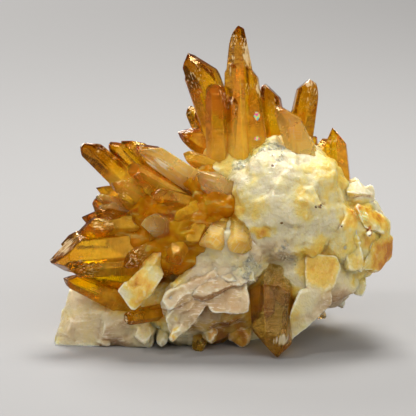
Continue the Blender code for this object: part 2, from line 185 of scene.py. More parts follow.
PALE_POINTS = each(
    Point,
    # The front: from under the crown down to the floor.
    ((38, 68, -5), (24.4, 101.8, -6), 9.6, 1.3, 20, 90, 1.0),
    ((30, 70, -6), (29.0, 96, -2), 7.0, 1.3, 10, 0, 0.7),
    ((-6, 67, -2), (-32.8, 84.6, -1), 8.8, 1.1, 30, 90, 0.8),
    ((2, 66, 2), (-9.0, 73.4, 10), 8.4, 1.25, 25, 0, 0.4),
    ((-34, 58, -6), (-49, 61.0, 0), 6.0, 1.1, 20, 90, 0.7, 0, 0),
    ((-12, 52, 0), (-32.4, 53.2, 14), 9.4, 1.15, 0, 0, 1.3),
    ((-30, 58, -6), (-50.6, 64.2, -1), 4.6, 1.2, 25),
    ((21, 34, -6), (20.2, 1.0, 10.4), 15.6, 1.2, -10, 100, 0.3, 0, 0),
    # The back.
    ((40, 50, -34), (60.4, 56, -45), 9.6, 1.2, 20, 90, 0.8),
    ((30, 40, -46), (43.0, 35, -65), 9.4, 1.2, 10, 180, 0.9),
    ((8, 44, -50), (9.0, 50, -70), 10.2, 1.15, 25, 180, 0.6),
    ((-10, 24, -44), (-20.6, 26, -62), 9.2, 1.2, 15, 180, 0.7),
    ((14, 20, -46), (18.4, 15, -63), 9.0, 1.2, 5, 0, 0.8),
    ((30, 26, -34), (42.6, 14, -43), 8.8, 1.2, 25, 90, 0.5),
)

# Two stubby cloudy points at the middle of the front.
GLOBS = each(
    Point,
    ((0, 54, 2), (-5.6, 42.8, 16), 10.0, 1.15, 15, 180, 0.9, 1.2, 0),
    ((7, 56, 2), (6.6, 41.4, 16.8), 9.6, 1.2, -10, 150, 0.3, 2.4, 0),
)

# A long frosted point on the left, and one low in its shade.
FROSTY_POINTS = each(
    Point,
    ((-22, 54, -2), (-57.6, 51.6, 3), 8.8, 1.1, 20, 90, 0.7, 0, 1),
    ((-20, 58, -6), (-44, 71, 1), 7.6, 1.1, 35, 90, 0.6, 0, 1),
)

# Points of milky quartz, which break up into the body.
MILKY_POINTS = each(
    Point,
    ((-20, 48, 0), (-33.0, 30.0, 10), 9.0, 1.15, 25, 90, 0.9),
    ((48, 56, -8), (60.8, 68.4, -6), 8.4, 1.25, 15, 0, 0.8),
    ((52, 52, -12), (65.0, 58.0, -10), 8.6, 1.2, 25, 90, 0.8),
    ((48, 60, -14), (54.6, 72.4, -12), 6.4, 1.2, 5),
    ((52, 49, -12), (66.0, 40.4, -5), 12.0, 1.15, 20, -60, 0.8),
    ((50, 40, -16), (57.2, 25.2, -6), 8.0, 1.2, 10, 0, 0.6),
    ((40, 34, -20), (47.6, 19.4, -16), 8.8, 1.2, 30, 90, 0.7),
    ((6, 20, -14), (8.0, 3.2, -6), 9.6, 1.25, 20, 0, 0.6),
    ((-9, 24, 0), (-20, 7.2, 12), 5.8, 1.3, 30, 0, 0.3),
    ((-6, 16, -8), (-4.6, 6.4, 2), 6.4, 1.2, 10),
    ((10, 36, 2), (-24.0, 22.4, 15), 7.4, 1.2, 20, 0, 1.4),
    ((-30, 16, -14), (-31.2, 6.4, 1), 7.4, 1.2, 15),
    ((-22, 14, -10), (-25.0, 4.4, -1), 4.2, 1.3, 30),
)

# A bed of small points: the lump it grows on, which way from the lump's middle, how wide a cone, how many,
# their lengths and their widths.
Bed = namedtuple("Bed", "lump aim spread count lengths widths")
BEDS = each(
    Bed,
    ("spray_root", (-0.7, 0.1, 1.0), 34, 6, (6, 10), (5.2, 7.6)),
    ("spray_root", (-0.9, 0.5, 0.2), 34, 7, (12, 18), (3.8, 5.6)),
    ("dome", (0.4, 1.0, -1.0), 30, 7, (7, 13), (4.0, 6.4)),
    ("back", (-0.6, 0.6, -0.8), 34, 10, (7, 17), (4.2, 8.4)),
    ("back", (0.8, 0.0, -0.6), 36, 6, (3, 8), (4.6, 7.4)),
    ("waist", (-0.2, -0.5, 1.0), 30, 3, (5, 8), (3.6, 5.2)),
    ("foot", (-0.2, 0.6, -1.0), 40, 6, (4, 8), (3.6, 6.4)),
)
BED_SEED = 7
ROOT_DEPTH = 0.72  # how far out a small point starts, as a share of its lump's radius

# Which beds are stained amber; the others stay pale.
AMBER_BEDS = ("spray_root", "dome", "back")

# Where iron has soaked into the body: centre and radii, each across, up and out, and how strongly.
Stain = namedtuple("Stain", "centre radii strength")
IRON_STAINS = each(
    Stain,
    ((-34, 50, -4), (34, 32, 34), 1.0),  # the root of the left spray
    ((-4, 58, 2), (20, 15, 18), 1.0),  # the amber hollow in the middle
    ((-12, 78, -8), (24, 9, 18), 0.7),  # under the crown
    ((20, 84, -24), (34, 12, 22), 0.55),
    ((2, 7, -6), (18, 10, 22), 1.0),  # under the front
    ((20, 22, -4), (14, 14, 18), 1.0),  # the hollow right of the ledge
    ((39, 37, 6), (13, 16, 14), 0.46),  # the lemon slab
    ((64, 40, 0), (16, 16, 20), 1.0),  # the edge of the right lobe
    ((59, 57, 2), (14, 11, 14), 0.85),
    ((16, 52, 12), (8, 5, 12), 0.9),  # a rusty patch low on the dome
    ((44, 74, 0), (24, 14, 24), 0.36),  # lemon washes over the dome
    ((36, 62, 10), (14, 18, 16), 0.26),
    ((12, 66, 14), (10, 12, 12), 0.26),
    ((52, 46, 4), (20, 24, 20), 0.2),  # the ribs of the right lobe
    ((-34, 29.5, 14), (12, 12, 12), 0.7),  # a lemon wedge in the left spray
    ((58.8, 49.2, 5), (3.6, 3.6, 8), 1.5),
    ((21, 18, 4), (9, 18, 12), 0.7),
    ((2, 11, 2), (16, 6, 14), 1.0),
    ((-20.5, 9, 12), (4.4, 4.4, 6), 0.9),
    ((10, 50, -56), (44, 30, 20), 0.5),  # the back
)
# Where little points crust the breaks.
DRUSY = each(
    Stain,
    ((11, 34, 10), (7, 7, 12), 1.0),
    ((16, 83, -4), (22, 6, 12), 0.8),
    ((28, 40, 10), (9, 5, 10), 0.7),
    ((-30, 12, 0), (10, 6, 14), 0.5),
    ((10, 44, -62), (26, 16, 10), 0.6),
)
# Where growth frost has paled the points, and where the same pale patches are painted highlights on faces
# that caught the light.
FROST_AND_HIGHLIGHT_ZONES = each(
    Stain,
    # growth frost on the tallest point's right face, partly a painted reflection of the light
    ((11.4, 123, -10), (4.6, 11, 9), 1.0),
    ((14.6, 108, -10), (2.2, 13, 9), 0.7),
    ((-11.6, 119, -15), (6, 10, 10), 0.46),
    ((3.8, 118, -10), (4, 13, 8), 0.5),
    ((-62, 44, 0), (9, 7, 12), 0.75),
    ((-48, 80, -8), (6, 5, 10), 0.36),
    # a painted highlight along the lower edge of the long pale point on the left
    ((-26, 77, 3), (11, 6, 9), 0.7),
    ((-48, 53.4, 4), (11, 5, 8), 0.6),
    # a painted highlight: the glassy glint near the tip of the big pale point at the foot
    ((23.6, 8, 11), (6, 4.4, 9), 0.85),
    ((36, 111.5, -22), (6, 3.6, 7), 0.8),
    ((18, 110.5, -22), (6, 3, 7), 0.6),
)
# Where the tips have burnt to a deep honey brown.
BURNT = each(
    Stain,
    ((-49, 79, -11), (15, 13, 12), 1.0),
    ((-12, 115, -18), (10, 18, 14), 1.0),
    ((6, 120, -14), (8, 20, 12), 0.9),
    ((-58, 38, 0), (14, 10, 14), 0.6),
    ((-15, 94, -24), (12, 12, 14), 0.7),
    ((20, 104, -25), (10, 12, 12), 0.8),
    ((-54, 61, -10), (10, 8, 12), 0.3),
    ((35, 101, -24), (9, 16, 10), 0.8),
    ((2, 104, -9), (13, 9, 12), 0.6),
)
# Cracks that split light into colours, and specks of limonite on the milky quartz.
RAINBOWS = each(
    Stain,
    ((14, 97.4, -8), (2.2, 2.8, 9), 1.0),
    ((14, 88.6, -8), (2.4, 1.8, 9), 1.0),
    ((56.6, 57, 5), (6.4, 6, 9), 0.52),
)
GLINTS = ((0.34, "#cfe88a"), (0.42, "#fff4b0"), (0.5, "#ffffff"), (0.58, "#eef070"), (0.66, "#9fdcb0"))
RAINBOW = ((0.34, "#e05cc0"), (0.42, "#ff9a60"), (0.5, "#fff08a"), (0.58, "#8cf08a"), (0.66, "#70c8f0"))
SPECKS = each(
    Stain,
    ((8.8, 71.2, 14), (0.9, 0.9, 6), 1.0),
    ((38, 61.4, 10), (4.6, 1.8, 10), 0.8),
    ((20, 76.8, 10), (1.2, 0.8, 8), 0.8),
    ((23.4, 54.4, 14), (1.2, 0.9, 8), 0.9),
    ((47.4, 53.4, 4), (1.4, 1.4, 8), 0.9),
    ((53, 64, 2), (1.0, 1.0, 8), 0.8),
    ((58.8, 49.6, 6), (3.0, 3.0, 6), 0.5),
)
LIMONITE = ((0.35, "#54340e"), (0.6, "#946624"))
# Where the points are hazy rather than clear. On the amber points the same zones also lighten the colour
# towards straw: a painted glow where they sit in shade.
HAZE_AND_GLOW_ZONES = each(
    Stain,
    ((29, 84, -5), (12, 20, 14), 0.7),
    ((-20, 76, -2), (20, 16, 14), 0.8),
    ((-3, 69, 8), (10, 9, 12), 0.6),
    ((1, 45, 16), (14, 12, 14), 1.3),
    ((-32, 53, 14), (12, 8, 10), 0.6),
    ((-36, 68, -4), (17, 10, 14), 0.9),
    ((-44, 60, -6), (10, 8, 12), 0.5),
    ((-30, 44, 4), (14, 10, 12), 0.4),
    ((2, 84, -10), (26, 12, 16), 0.6),
    ((-3, 102, -6), (6, 12, 9), 0.3),
)
# Blocks that stay crisp instead of melting into the body, and their corners.
CRISP_BLOCKS = {
    "ledge_top": (
        (-25, 21, 11), (-23.6, 26, 8), (-14, 33, 8), (-5.6, 38.4, 7), (-2, 31, 13), (-9, 28, 15),
        (-19, 21, 15), (-22, 14, 0), (-4, 24, -4), (-8, 36, -6), (-20, 26, -6),
    ),
    "ledge_flap": (
        (-24, 20, 12), (-20.6, 7, 12), (-19, 6.8, 9), (-15, 10, 12.5), (-10.4, 15.8, 13),
        (-5.6, 18.4, 12.5), (-5.4, 27, 13), (-16, 23, 14), (-16, 14, 0), (-6, 20, -2), (-22, 18, 2),
    ),
    "front_block": (
        (-6.4, 22.5, 14), (-6, 26, 14.2), (-2.4, 32, 10.6), (11, 33, 9), (11.2, 30.4, 11.6),
        (11.2, 18.4, 12.4), (4.8, 16.4, 13.6), (0, 17, 14.6), (-4, 18.4, 14.8), (9, 19, -2),
        (10, 31, -4), (-4, 20, -2), (-4, 30, -4),
    ),
    "front_step": (
        (-4, 36, 9), (4, 39, 8), (12, 37, 8), (13, 31, 10), (4, 31, 13), (-3, 32, 12),
        (0, 34, -4), (10, 34, -4), (2, 28, 2),
    ),
    "lobe_crest": (
        (50, 72, -8), (57, 71.6, -8), (60, 68, -6), (63.6, 60.4, -6), (54.8, 63, 3), (50, 66, 2),
        (48, 60, -20), (62, 60, -20), (56, 70, -18),
    ),
    "lobe_prism": (
        (51, 64.4, 2), (60, 61.6, 0), (67.6, 57.2, -6), (67.6, 47, -6), (54, 53, 7), (52.3, 59.4, 7),
        (69, 52, -5), (65, 50, 1), (50, 54, -20), (66, 56, -20), (58, 60, 3),
    ),
    "lobe_face": (
        (60, 48, 3), (69.6, 50, -6), (69.8, 44, -6), (68, 37, -5), (60, 30, -3), (56.6, 37, 4.6),
        (59, 43, 4.4), (50, 34, -20), (64, 44, -24),
    ),
    "lobe_ribs": (
        (48, 54, 5), (54, 53, 6.4), (57, 44, 6), (57.4, 34, 3), (50, 32, 5), (46, 42, 6), (46, 50, 5),
        (50, 44, -20), (46, 34, -14),
    ),
    "lobe_under": (
        (57, 30, -4), (54.8, 24.8, -6), (48.5, 22.4, -6), (43, 19.6, -4), (40, 30, 5), (52, 34, 5),
        (46, 28, 5.6), (40, 24, -16), (52, 28, -18), (36, 22, 0),
    ),
    "lobe_tail": (
        (43.6, 21, -4), (42.8, 16, -5), (37.4, 15.6, -4), (35, 20, 0), (34, 27, 4), (42, 28, 4),
        (36, 18, -14), (42, 20, -12),
    ),
    "lemon_slab": (
        (33, 42, 6), (46, 41, 6), (48.4, 35, 6.4), (46, 30.6, 8), (42, 26.6, 8), (35.6, 22, 8.6),
        (33, 34, 8.6), (34, 40, -6), (46, 36, -8), (38, 22, -4), (33, 24, 2),
    ),
    "base_slab": (
        (-68, 6, -12), (-65, 3, -30), (-63, 27, -16), (-57, 29, -27), (-46, 27, -12),
        (-45, 4, -7), (-60, 14, -8), (-48, 16, -5), (-60, 21, -38), (-62, 6, -38),
        (-44, 4, -36), (-44, 24, -34), (-68.4, 3, -11), (-68, 4, -18),
    ),
    "base_step": (
        (-50, 4, -8), (-49, 24, -10), (-42, 28, -14), (-30, 24, -7), (-27, 4, -5), (-38, 16, -2),
        (-47, 12, -3), (-50, 22, -46), (-34, 20, -52), (-52, 4, -48), (-28, 2, -46), (-24, 24, -30),
    ),
    "base_heel": (
        (-58, 10, -34), (-56, 18, -44), (-46, 26, -42), (-36, 22, -54), (-40, 6, -58),
        (-56, 6, -50), (-30, 26, -38), (-26, 8, -48), (-44, 4, -30),
    ),
    "lemon_keel": (
        (31, 29, 8), (43, 28, 7), (44, 21.6, 5), (36.6, 13.8, 6), (28, 5.4, 8), (22.6, 0.8, 10),
        (23.4, 8, 13), (27, 17, 13), (31, 26, 11), (28, 22, -2), (38, 22, -4), (25, 7, 3),
    ),
    "lobe_knob": (
        (56.8, 49.6, 4.6), (60.8, 49.6, 4.6), (58.8, 51.6, 4.6), (58.8, 47.6, 4.6), (57.4, 51, 6.2),
        (60.2, 51, 6.2), (60.2, 48.2, 6.2), (57.4, 48.2, 6.2), (58.8, 49.6, 7.2), (58.8, 49.6, 0),
    ),
    "left_wedge": (
        (-43.2, 26.4, 13), (-38.6, 18.8, 15), (-35.4, 18.4, 15.4), (-29.2, 23.8, 16), (-22.4, 30.6, 14),
        (-24.6, 37.4, 10), (-30.7, 37, 11), (-35.3, 33.6, 13), (-38, 27, 4), (-34, 22, 6),
        (-28, 37, -2), (-22, 32, 0),
    ),
}
# Where the milky quartz turns smoky grey; the zone under the ledge is painted shade, and these zones also
# decide where faces turned down get painted shade.
SMOKE_AND_SHADE_STAINS = each(
    Stain,
    ((40, 18, 0), (16, 9, 14), 0.6),
    ((20, 40, 10), (20, 9, 14), 0.4),
    ((-4, 22, 12), (30, 18, 22), 0.85),
    ((46, 22, 0), (18, 12, 20), 0.6),
    ((-56, 14, -14), (24, 18, 30), 0.4),
    ((-42, 8, -6), (16, 9, 20), 0.6),
    # painted shade in the hollow under the ledge
    ((2, 10, 2), (20, 8, 18), 1.0),
)

CHIPS_EACH = 14  # how many chips have come off each block
STEEP_SHARE = 0.5  # of the edges between prism and tip, those that a steep face cuts
EDGE_WEAR = 0.14  # width of the worn edge between two crystal faces
FLAT_EDGE = 0.97  # the cosine over which two faces count as one
SAME_CORNER = 0.01  # corners closer than this are one
PRISM_LEAN = 0.3  # a prism face leans less than this along its crystal
MAP_GAP = 17  # millimetres between two crystals in the growth map
SLENDER = 5.5  # a point thinner than this has no side crystals
BODY_VOXEL = 0.74
CRISP_VOXEL = 0.5
SHARP_BREAK = math.radians(30)
FOOT_CLEAR = 0.02  # height of the level foot over the floor
HALF = Vector((0.5, 0.5, 0.5))
IRON_REACH = 2.6  # how far the stain fades around an amber point
IRON_NEAR_POINTS = 0.75  # how strong it is inside the point
STAIN_WANDER = ((9, 7), (3.4, 3))  # how ragged a stain is: size of the waves, reach
STAIN_EDGE = 0.8  # the share of a stain over which it fades
AGEING = (22, 24)  # millimetres from the heart to where iron starts to darken tips, and over which it does
AGES = (0.45, 0.85)  # the least and the most that it does


# ---------------- one crystal
def on_face(across, up, out):
    """A place on the show face, in metres."""
    return (FACE_ZERO + across * ACROSS + up * UP + out * OUT) * MM


def slice_off(bm, place, normal, near):
    """Cuts away what lies beyond a plane, and returns the edges of the cut."""
    whole = bm.verts[:] + bm.edges[:] + bm.faces[:]
    cut = bmesh.ops.bisect_plane(
        bm, geom=whole, dist=near, plane_co=place, plane_no=normal, clear_outer=True
    )
    return [e for e in cut["geom_cut"] if isinstance(e, bmesh.types.BMEdge)]


def cut_block(planes):
    """The convex block behind every plane, each a point and its outward normal in millimetres."""
    bm = bmesh.new()
    bmesh.ops.create_cube(bm, size=LONGEST_SIDE)
    for place, normal in planes:
        rim = slice_off(bm, place, normal, 1e-5)
        if len(rim) > 2:
            bmesh.ops.contextual_create(bm, geom=rim)
    bmesh.ops.recalc_face_normals(bm, faces=bm.faces)
    return bm


def stand(p):
    """The matrix from a crystal's own millimetres to its place in the cluster, in metres; its first bearing
    is turned to the show face."""
    root = on_face(*p.root)
    along = (on_face(*p.tip) - root).normalized()
    facing = OUT if abs(OUT.dot(along)) < NEARLY_ALONG else UP
    front = (facing - facing.dot(along) * along).normalized()
    turned = Matrix((front, along.cross(front), along)).transposed().to_4x4()
    return Matrix.Translation(root) @ turned @ Matrix.Scale(MM, 4)


def level(bearing):
    """The way across a crystal at a bearing in degrees, in its own frame."""
    angle = math.radians(bearing)
    return Vector((math.cos(angle), math.sin(angle), 0))


def length_of(p):
    return (Vector(p.tip) - Vector(p.root)).length


def girth(p):
    """Half the width across the flats, the height of the shoulder, and how fast the sides flare."""
    inner = p.width / 2
    shoulder = length_of(p) - inner / math.tan(POINT_ANGLE)
    return inner, shoulder, (p.flare - 1) * inner / max(shoulder, inner)


def habit_planes(p, seed):
    """The main faces of one crystal in its own frame: six prism faces and six unequal tip faces."""
    length = length_of(p)
    inner, shoulder, slope = girth(p)
    draw = random.Random(seed)
    planes = [(Vector(), -ALONG)]
    nearest = min(
        range(FACES_ROUND),
        key=lambda k: math.cos(math.radians(p.turn + EACH_TURN * k - p.chisel + 180)),
    )
    for k in range(FACES_ROUND):
        outward = level(p.turn + EACH_TURN * k + draw.uniform(-3, 3))
        reach = inner * draw.uniform(0.88, 1.12) + slope * shoulder
        planes.append((outward * reach, outward + ALONG * slope))
        rise = draw.uniform(0, 0.2) if k % 2 == 0 else draw.uniform(0.2, 0.6)
        if k == nearest:
            rise = -p.bite
        lean = outward * math.cos(POINT_ANGLE) + ALONG * math.sin(POINT_ANGLE)
        planes.append((ALONG * (length + (rise + p.bite / 2) * inner), lean))
    if p.snap:
        broken_face = Vector((draw.uniform(-0.3, 0.3), draw.uniform(-0.3, 0.3), 1))
        planes.append((ALONG * (length - p.snap), broken_face))
    return planes


def small_faces(p, seed):
    """Faces a few degrees off the main ones, corner faces at the shoulder, and a chip off the tip."""
    inner, shoulder, slope = girth(p)
    draw = random.Random(seed + SMALL_FACES)
    planes = []
    for k in range(FACES_ROUND):
        outward = level(p.turn + EACH_TURN * k + draw.uniform(-5, 5))
        start = shoulder * draw.uniform(0.5, 0.9)
        lean = slope + math.tan(math.radians(draw.uniform(0.6, 2.0)))
        reach = inner + slope * (shoulder - start)
        planes.append((outward * reach + ALONG * start, outward + ALONG * lean))
        if p.width > 6 and draw.random() < 0.25:
            outward = level(p.turn + EACH_TURN * k + 30)
            reach = inner * draw.uniform(1.04, 1.12)
            lean = math.tan(math.radians(draw.uniform(20, 30)))
            planes.append((outward * reach + ALONG * shoulder, outward + ALONG * lean))
    chip = Vector((draw.uniform(-0.9, 0.9), draw.uniform(-0.9, 0.9), 1))
    planes.append((ALONG * (length_of(p) - draw.uniform(0.1, 0.05 * p.width + 0.1)), chip))
    return planes if p.sides == 0 else planes + steep_faces(p, seed)


def steep_faces(p, seed):
    """Steep faces between some of the prism faces and the tip."""
    inner, shoulder, _ = girth(p)
    draw = random.Random(seed + STEEP_FACES)
    planes = []
    for k in range(FACES_ROUND):
        if draw.random() > STEEP_SHARE:
            continue
        outward = level(p.turn + EACH_TURN * k + draw.uniform(-6, 6))
        start = shoulder - inner * draw.uniform(0.1, 0.9)
        lean = math.tan(math.radians(draw.uniform(14, 26)))
        planes.append((outward * inner + ALONG * start, outward + ALONG * lean))
    return planes


def crystal_blocks(p, seed):
    """One point as lists of planes: itself, then the parallel crystals grown on its flanks."""
    blocks = [habit_planes(p, seed) + small_faces(p, seed)]
    if p.width < SLENDER:
        return blocks
    inner, shoulder, slope = girth(p)
    draw = random.Random(seed + SIDE_CRYSTALS)
    drawn = draw.choice((0, 1, 2, 2))
    for step in range(drawn if p.sides < 0 else p.sides):
        tip = Vector(p.root).lerp(Vector(p.tip), draw.uniform(0.45, 0.88))
        side = p._replace(
            tip=tuple(tip), width=p.width * draw.uniform(0.36, 0.6), flare=1.05, snap=0,
            bite=draw.uniform(0, 1), chisel=draw.uniform(0, 360),
        )
        its_inner, its_shoulder, _ = girth(side)
        outward = level(p.turn + EACH_TURN * draw.randrange(FACES_ROUND) + draw.uniform(-24, 24))
        proud = draw.uniform(0.25, 0.9)
        offset = outward * (inner + slope * (shoulder - its_shoulder) + proud - its_inner)
        planes = habit_planes(side, seed + SIDE_HABIT + step)
        blocks.append([(place + offset, normal) for place, normal in planes])
    return blocks


def small_points():
    """The points of every bed as (point, amber or not)."""
    draw = random.Random(BED_SEED)
    grown = []
    for bed in BEDS:
        centre, radii = (Vector(v) for v in LUMPS[bed.lump])
        aim = Vector(bed.aim).normalized()
        for _ in range(bed.count):
            swing = math.radians(bed.spread * math.sqrt(draw.random()))
            around = draw.uniform(0, math.tau)
            side = aim.orthogonal().normalized()
            side.rotate(Matrix.Rotation(around, 3, aim))
            way = aim * math.cos(swing) + side * math.sin(swing)
            surface = Vector(w * r for w, r in zip(way, radii))
            normal = Vector(w / r for w, r in zip(way, radii)).normalized()
            heading = (normal + 0.6 * aim).normalized()
            root = centre + surface * ROOT_DEPTH
            tip = centre + surface + heading * draw.uniform(*bed.lengths)
            width = draw.uniform(*bed.widths)
            p = Point(root, tip, width, 1.2, draw.uniform(0, 60), 0, draw.uniform(0, 0.9))
            grown.append((p, bed.lump in AMBER_BEDS))
    return grown


# ---------------- meshes
def mesh_object(name, parts):
    """One object from several bmeshes, whose shapes may cross each other."""
    mesh = bpy.data.meshes.new(name)
    whole = bmesh.new()
    for part in parts:
        part.to_mesh(mesh)
        part.free()
        whole.from_mesh(mesh)
    whole.to_mesh(mesh)
    whole.free()
    return new_object(name, mesh)


def new_object(name, data):
    obj = bpy.data.objects.new(name, data)
    bpy.context.collection.objects.link(obj)
    return obj


def with_modifiers(obj):
    """An object's mesh as its modifiers leave it."""
    graph = bpy.context.evaluated_depsgraph_get()
    return bpy.data.meshes.new_from_object(obj.evaluated_get(graph))


def apply_modifiers(obj):
    made = with_modifiers(obj)
    obj.modifiers.clear()
    obj.data = made


def worn_planes(planes):
    """The planes of a crystal and, a hair inside each edge between two of them, a plane that wears it."""
    bm = cut_block(planes)
    worn = []
    for edge in bm.edges:
        if len(edge.link_faces) != 2:
            continue
        first, second = (face.normal for face in edge.link_faces)
        if abs(first.dot(second)) > FLAT_EDGE or edge.calc_length() < 3 * EDGE_WEAR:
            continue
        outward = (first + second).normalized()
        middle = (edge.verts[0].co + edge.verts[1].co) / 2
        worn.append((middle - outward * EDGE_WEAR * first.dot(outward), outward))
    bm.free()
    return planes + worn


def worn_block(planes, placing):
    """A block in place, its edges worn by a hair."""
    bm = cut_block(worn_planes(planes))
    bmesh.ops.remove_doubles(bm, verts=bm.verts, dist=SAME_CORNER)
    bm.transform(placing)
    return bm


def worn_crystals(grown):
    """Every crystal of some points in place. grown is a list of (seed, point)."""
    return [worn_block(planes, stand(p)) for seed, p in grown for planes in crystal_blocks(p, seed)]


def melted(name, parts):
    """Closed shapes joined into one skin."""
    rest = bpy.data.collections.new(name + "_rest")
    bpy.context.scene.collection.children.link(rest)
    mass, *others = (mesh_object(f"{name}_{index}", [part]) for index, part in enumerate(parts))
    mass.name = name
    for other in others:
        rest.objects.link(other)
    join = mass.modifiers.new("join", "BOOLEAN")
    join.operation = "UNION"
    join.solver = "MANIFOLD"
    join.operand_type = "COLLECTION"
    join.collection = rest
    apply_modifiers(mass)
    for other in others:
        bpy.data.objects.remove(other)
    bpy.data.collections.remove(rest)
    return mass


def level_foot(bm):
    """Cuts a bmesh off flat just above the floor and closes the cut."""
    rim = slice_off(bm, (0, 0, FOOT_CLEAR * MM), (0, 0, -1), 1e-7)
    if rim:
        bmesh.ops.triangle_fill(bm, use_beauty=True, edges=rim)


def skins(bm):
    """The connected skins of a bmesh."""
    left = set(bm.faces)
    found = []
    while left:
        skin = {left.pop()}
        front = list(skin)
        while front:
            face = front.pop()
            near = {f for e in face.edges for f in e.link_faces} & left
            left -= near
            skin |= near
            front.extend(near)
        found.append(skin)
    return found


def enclosed(skin):
    """Six times the volume that a skin holds, negative where it faces inwards."""
    total = 0.0
    for face in skin:
        first, *rest = (v.co for v in face.verts)
        for a, b in zip(rest, rest[1:]):
            total += first.dot(a.cross(b))
    return total


def tidy_union(obj):
    """Drops sealed voids and levels the foot."""
    bm = bmesh.new()
    bm.from_mesh(obj.data)
    spare = [face for skin in skins(bm) if enclosed(skin) < 0 for face in skin]
    bmesh.ops.delete(bm, geom=spare, context="FACES")
    level_foot(bm)
    bm.to_mesh(obj.data)
    bm.free()


def crystal_mass(name, grown):
    """Crystals melted into one closed skin. grown is a list of (seed, point)."""
    mass = melted(name, worn_crystals(grown))
    tidy_union(mass)
    mark_growth(mass.data, grown)
    mark_stains(mass.data, grown)
    return mass


def remoteness(p):
    """How far a point reaches from the heart of the cluster, from 0 to 1; iron darkens the far tips."""
    away = Vector(p.tip) - Vector(LUMPS["heart"].centre)
    away.z *= 0.5
    start, span = AGEING
    least, most = AGES
    return min(max((away.length - start) / span, least), most)


def mark_growth(mesh, grown):
    """Gives each face its crystal's own coordinates: a UV map in millimetres (round, along), and how far
    along the crystal it is, its tone and whether it is a prism face, as attributes."""
    count = len(mesh.polygons)
    centres = gathered(mesh.polygons, "center", 3)
    gaps = []
    frames = []
    for seed, p in grown:
        place = np.array(stand(p))
        root, turn = place[:3, 3], place[:3, :3] / MM
        local = (centres - root) @ turn / MM
        gap = np.full(count, np.inf)
        for planes in crystal_blocks(p, seed):
            normals = np.array([n.normalized() for _, n in planes])
            offsets = np.array([n.normalized().dot(co) for co, n in planes])
            gap = np.minimum(gap, np.abs((local @ normals.T - offsets).max(axis=1)))
        gaps.append(gap)
        frames.append((root, turn, remoteness(p), length_of(p), random.Random(seed + TONE).random()))
    owner = np.argmin(np.array(gaps), axis=0)
    growth = np.zeros((len(mesh.loops), 2))
    age = np.zeros(len(mesh.loops))
    tone = np.zeros(count)
    prism = np.zeros(count)
    for polygon in mesh.polygons:
        index = int(owner[polygon.index])
        root, turn, far, length, tone[polygon.index] = frames[index]
        normal = np.array(polygon.normal) @ turn
        bearing = math.atan2(normal[1], normal[0])
        tangent = np.array((-math.sin(bearing), math.cos(bearing), 0))
        for loop in polygon.loop_indices:
            corner = np.array(mesh.vertices[mesh.loops[loop].vertex_index].co)
            local = (corner - root) @ turn / MM
            growth[loop] = local @ tangent + MAP_GAP * index, local[2]
            age[loop] = far * local[2] / length
        prism[polygon.index] = float(abs(normal[2]) < PRISM_LEAN)
    uv = mesh.uv_layers.new(name="growth")
    uv.data.foreach_set("uv", growth.astype(np.float32).ravel())
    mark(mesh, "age", age, "CORNER")
    mark(mesh, "tone", tone, "FACE")
    mark(mesh, "prism", prism, "FACE")


def mark(mesh, name, values, domain="POINT"):
    layer = mesh.attributes.new(name, "FLOAT", domain)
    layer.data.foreach_set("value", values.astype(np.float32))


def gathered(items, key, wide, kind=float):
    """One property of many parts of a mesh, as rows of numbers."""
    values = np.empty(len(items) * wide, dtype=kind)
    items.foreach_get(key, values)
    return values.reshape(-1, wide)


def spots_of(mesh):
    """Every vertex in millimetres."""
    return gathered(mesh.vertices, "co", 3) / MM


def drift(spot):
    """A smooth random offset, about 1 long at most."""
    return Vector(noise.noise(spot + Vector((shift, -shift, 2 * shift))) for shift in (0, 31.7, 67.3))


def soaked(spots, stains):
    """How strongly a set of stains with ragged edges colours each place, from 0 to 1."""
    ragged = [
        sum((drift(spot / size) * reach for size, reach in STAIN_WANDER), Vector())
        for spot in map(Vector, spots)
    ]
    spots = spots + np.array(ragged)
    strongest = np.zeros(len(spots))
    axes = np.array((ACROSS, UP, OUT)).T
    for stain in stains:
        local = (spots - np.array(on_face(*stain.centre)) / MM) @ axes / np.array(stain.radii)
        depth = np.clip((1 - np.linalg.norm(local, axis=1)) / STAIN_EDGE, 0, 1)
        strongest = np.maximum(strongest, stain.strength * depth * depth * (3 - 2 * depth))
    return strongest


def near_points(spots, grown):
    """How close each place is to a point: 1 inside it, fading to 0 around it."""
    near = np.zeros(len(spots))
    for _, p in grown:
        root = np.array(on_face(*p.root)) / MM
        axis = np.array(on_face(*p.tip)) / MM - root
        share = np.clip((spots - root) @ axis / (axis @ axis), 0, 1)
        gap = np.linalg.norm(spots - root - share[:, None] * axis, axis=1) - p.width / 2
        near = np.maximum(near, np.exp(-np.clip(gap, 0, None) / IRON_REACH))
    return near


def mark_edges(mesh):
    """How sharply the skin bends at each vertex, from -1 in a crack to 1 on an edge."""
    spots = spots_of(mesh)
    normals = gathered(mesh.vertices, "normal", 3)
    first, second = gathered(mesh.edges, "vertices", 2, int).T
    apart = spots[second] - spots[first]
    turned = ((normals[second] - normals[first]) * apart).sum(axis=1)
    bend = turned / np.maximum((apart * apart).sum(axis=1), 1e-6)
    both = np.concatenate((first, second))
    total = np.bincount(both, np.concatenate((bend, bend)), len(spots))
    count = np.maximum(np.bincount(both, minlength=len(spots)), 1)
    mark(mesh, "edge", np.clip(total / count, -1, 1))


def mark_stains(mesh, amber):
    """Where iron and smoke colour a mesh; the smoke zones carry painted shade too."""
    spots = spots_of(mesh)
    mark_edges(mesh)
    near = IRON_NEAR_POINTS * near_points(spots, amber)
    mark(mesh, "iron", np.maximum(soaked(spots, IRON_STAINS), near))
    mark(mesh, "smoke_and_shade", soaked(spots, SMOKE_AND_SHADE_STAINS))


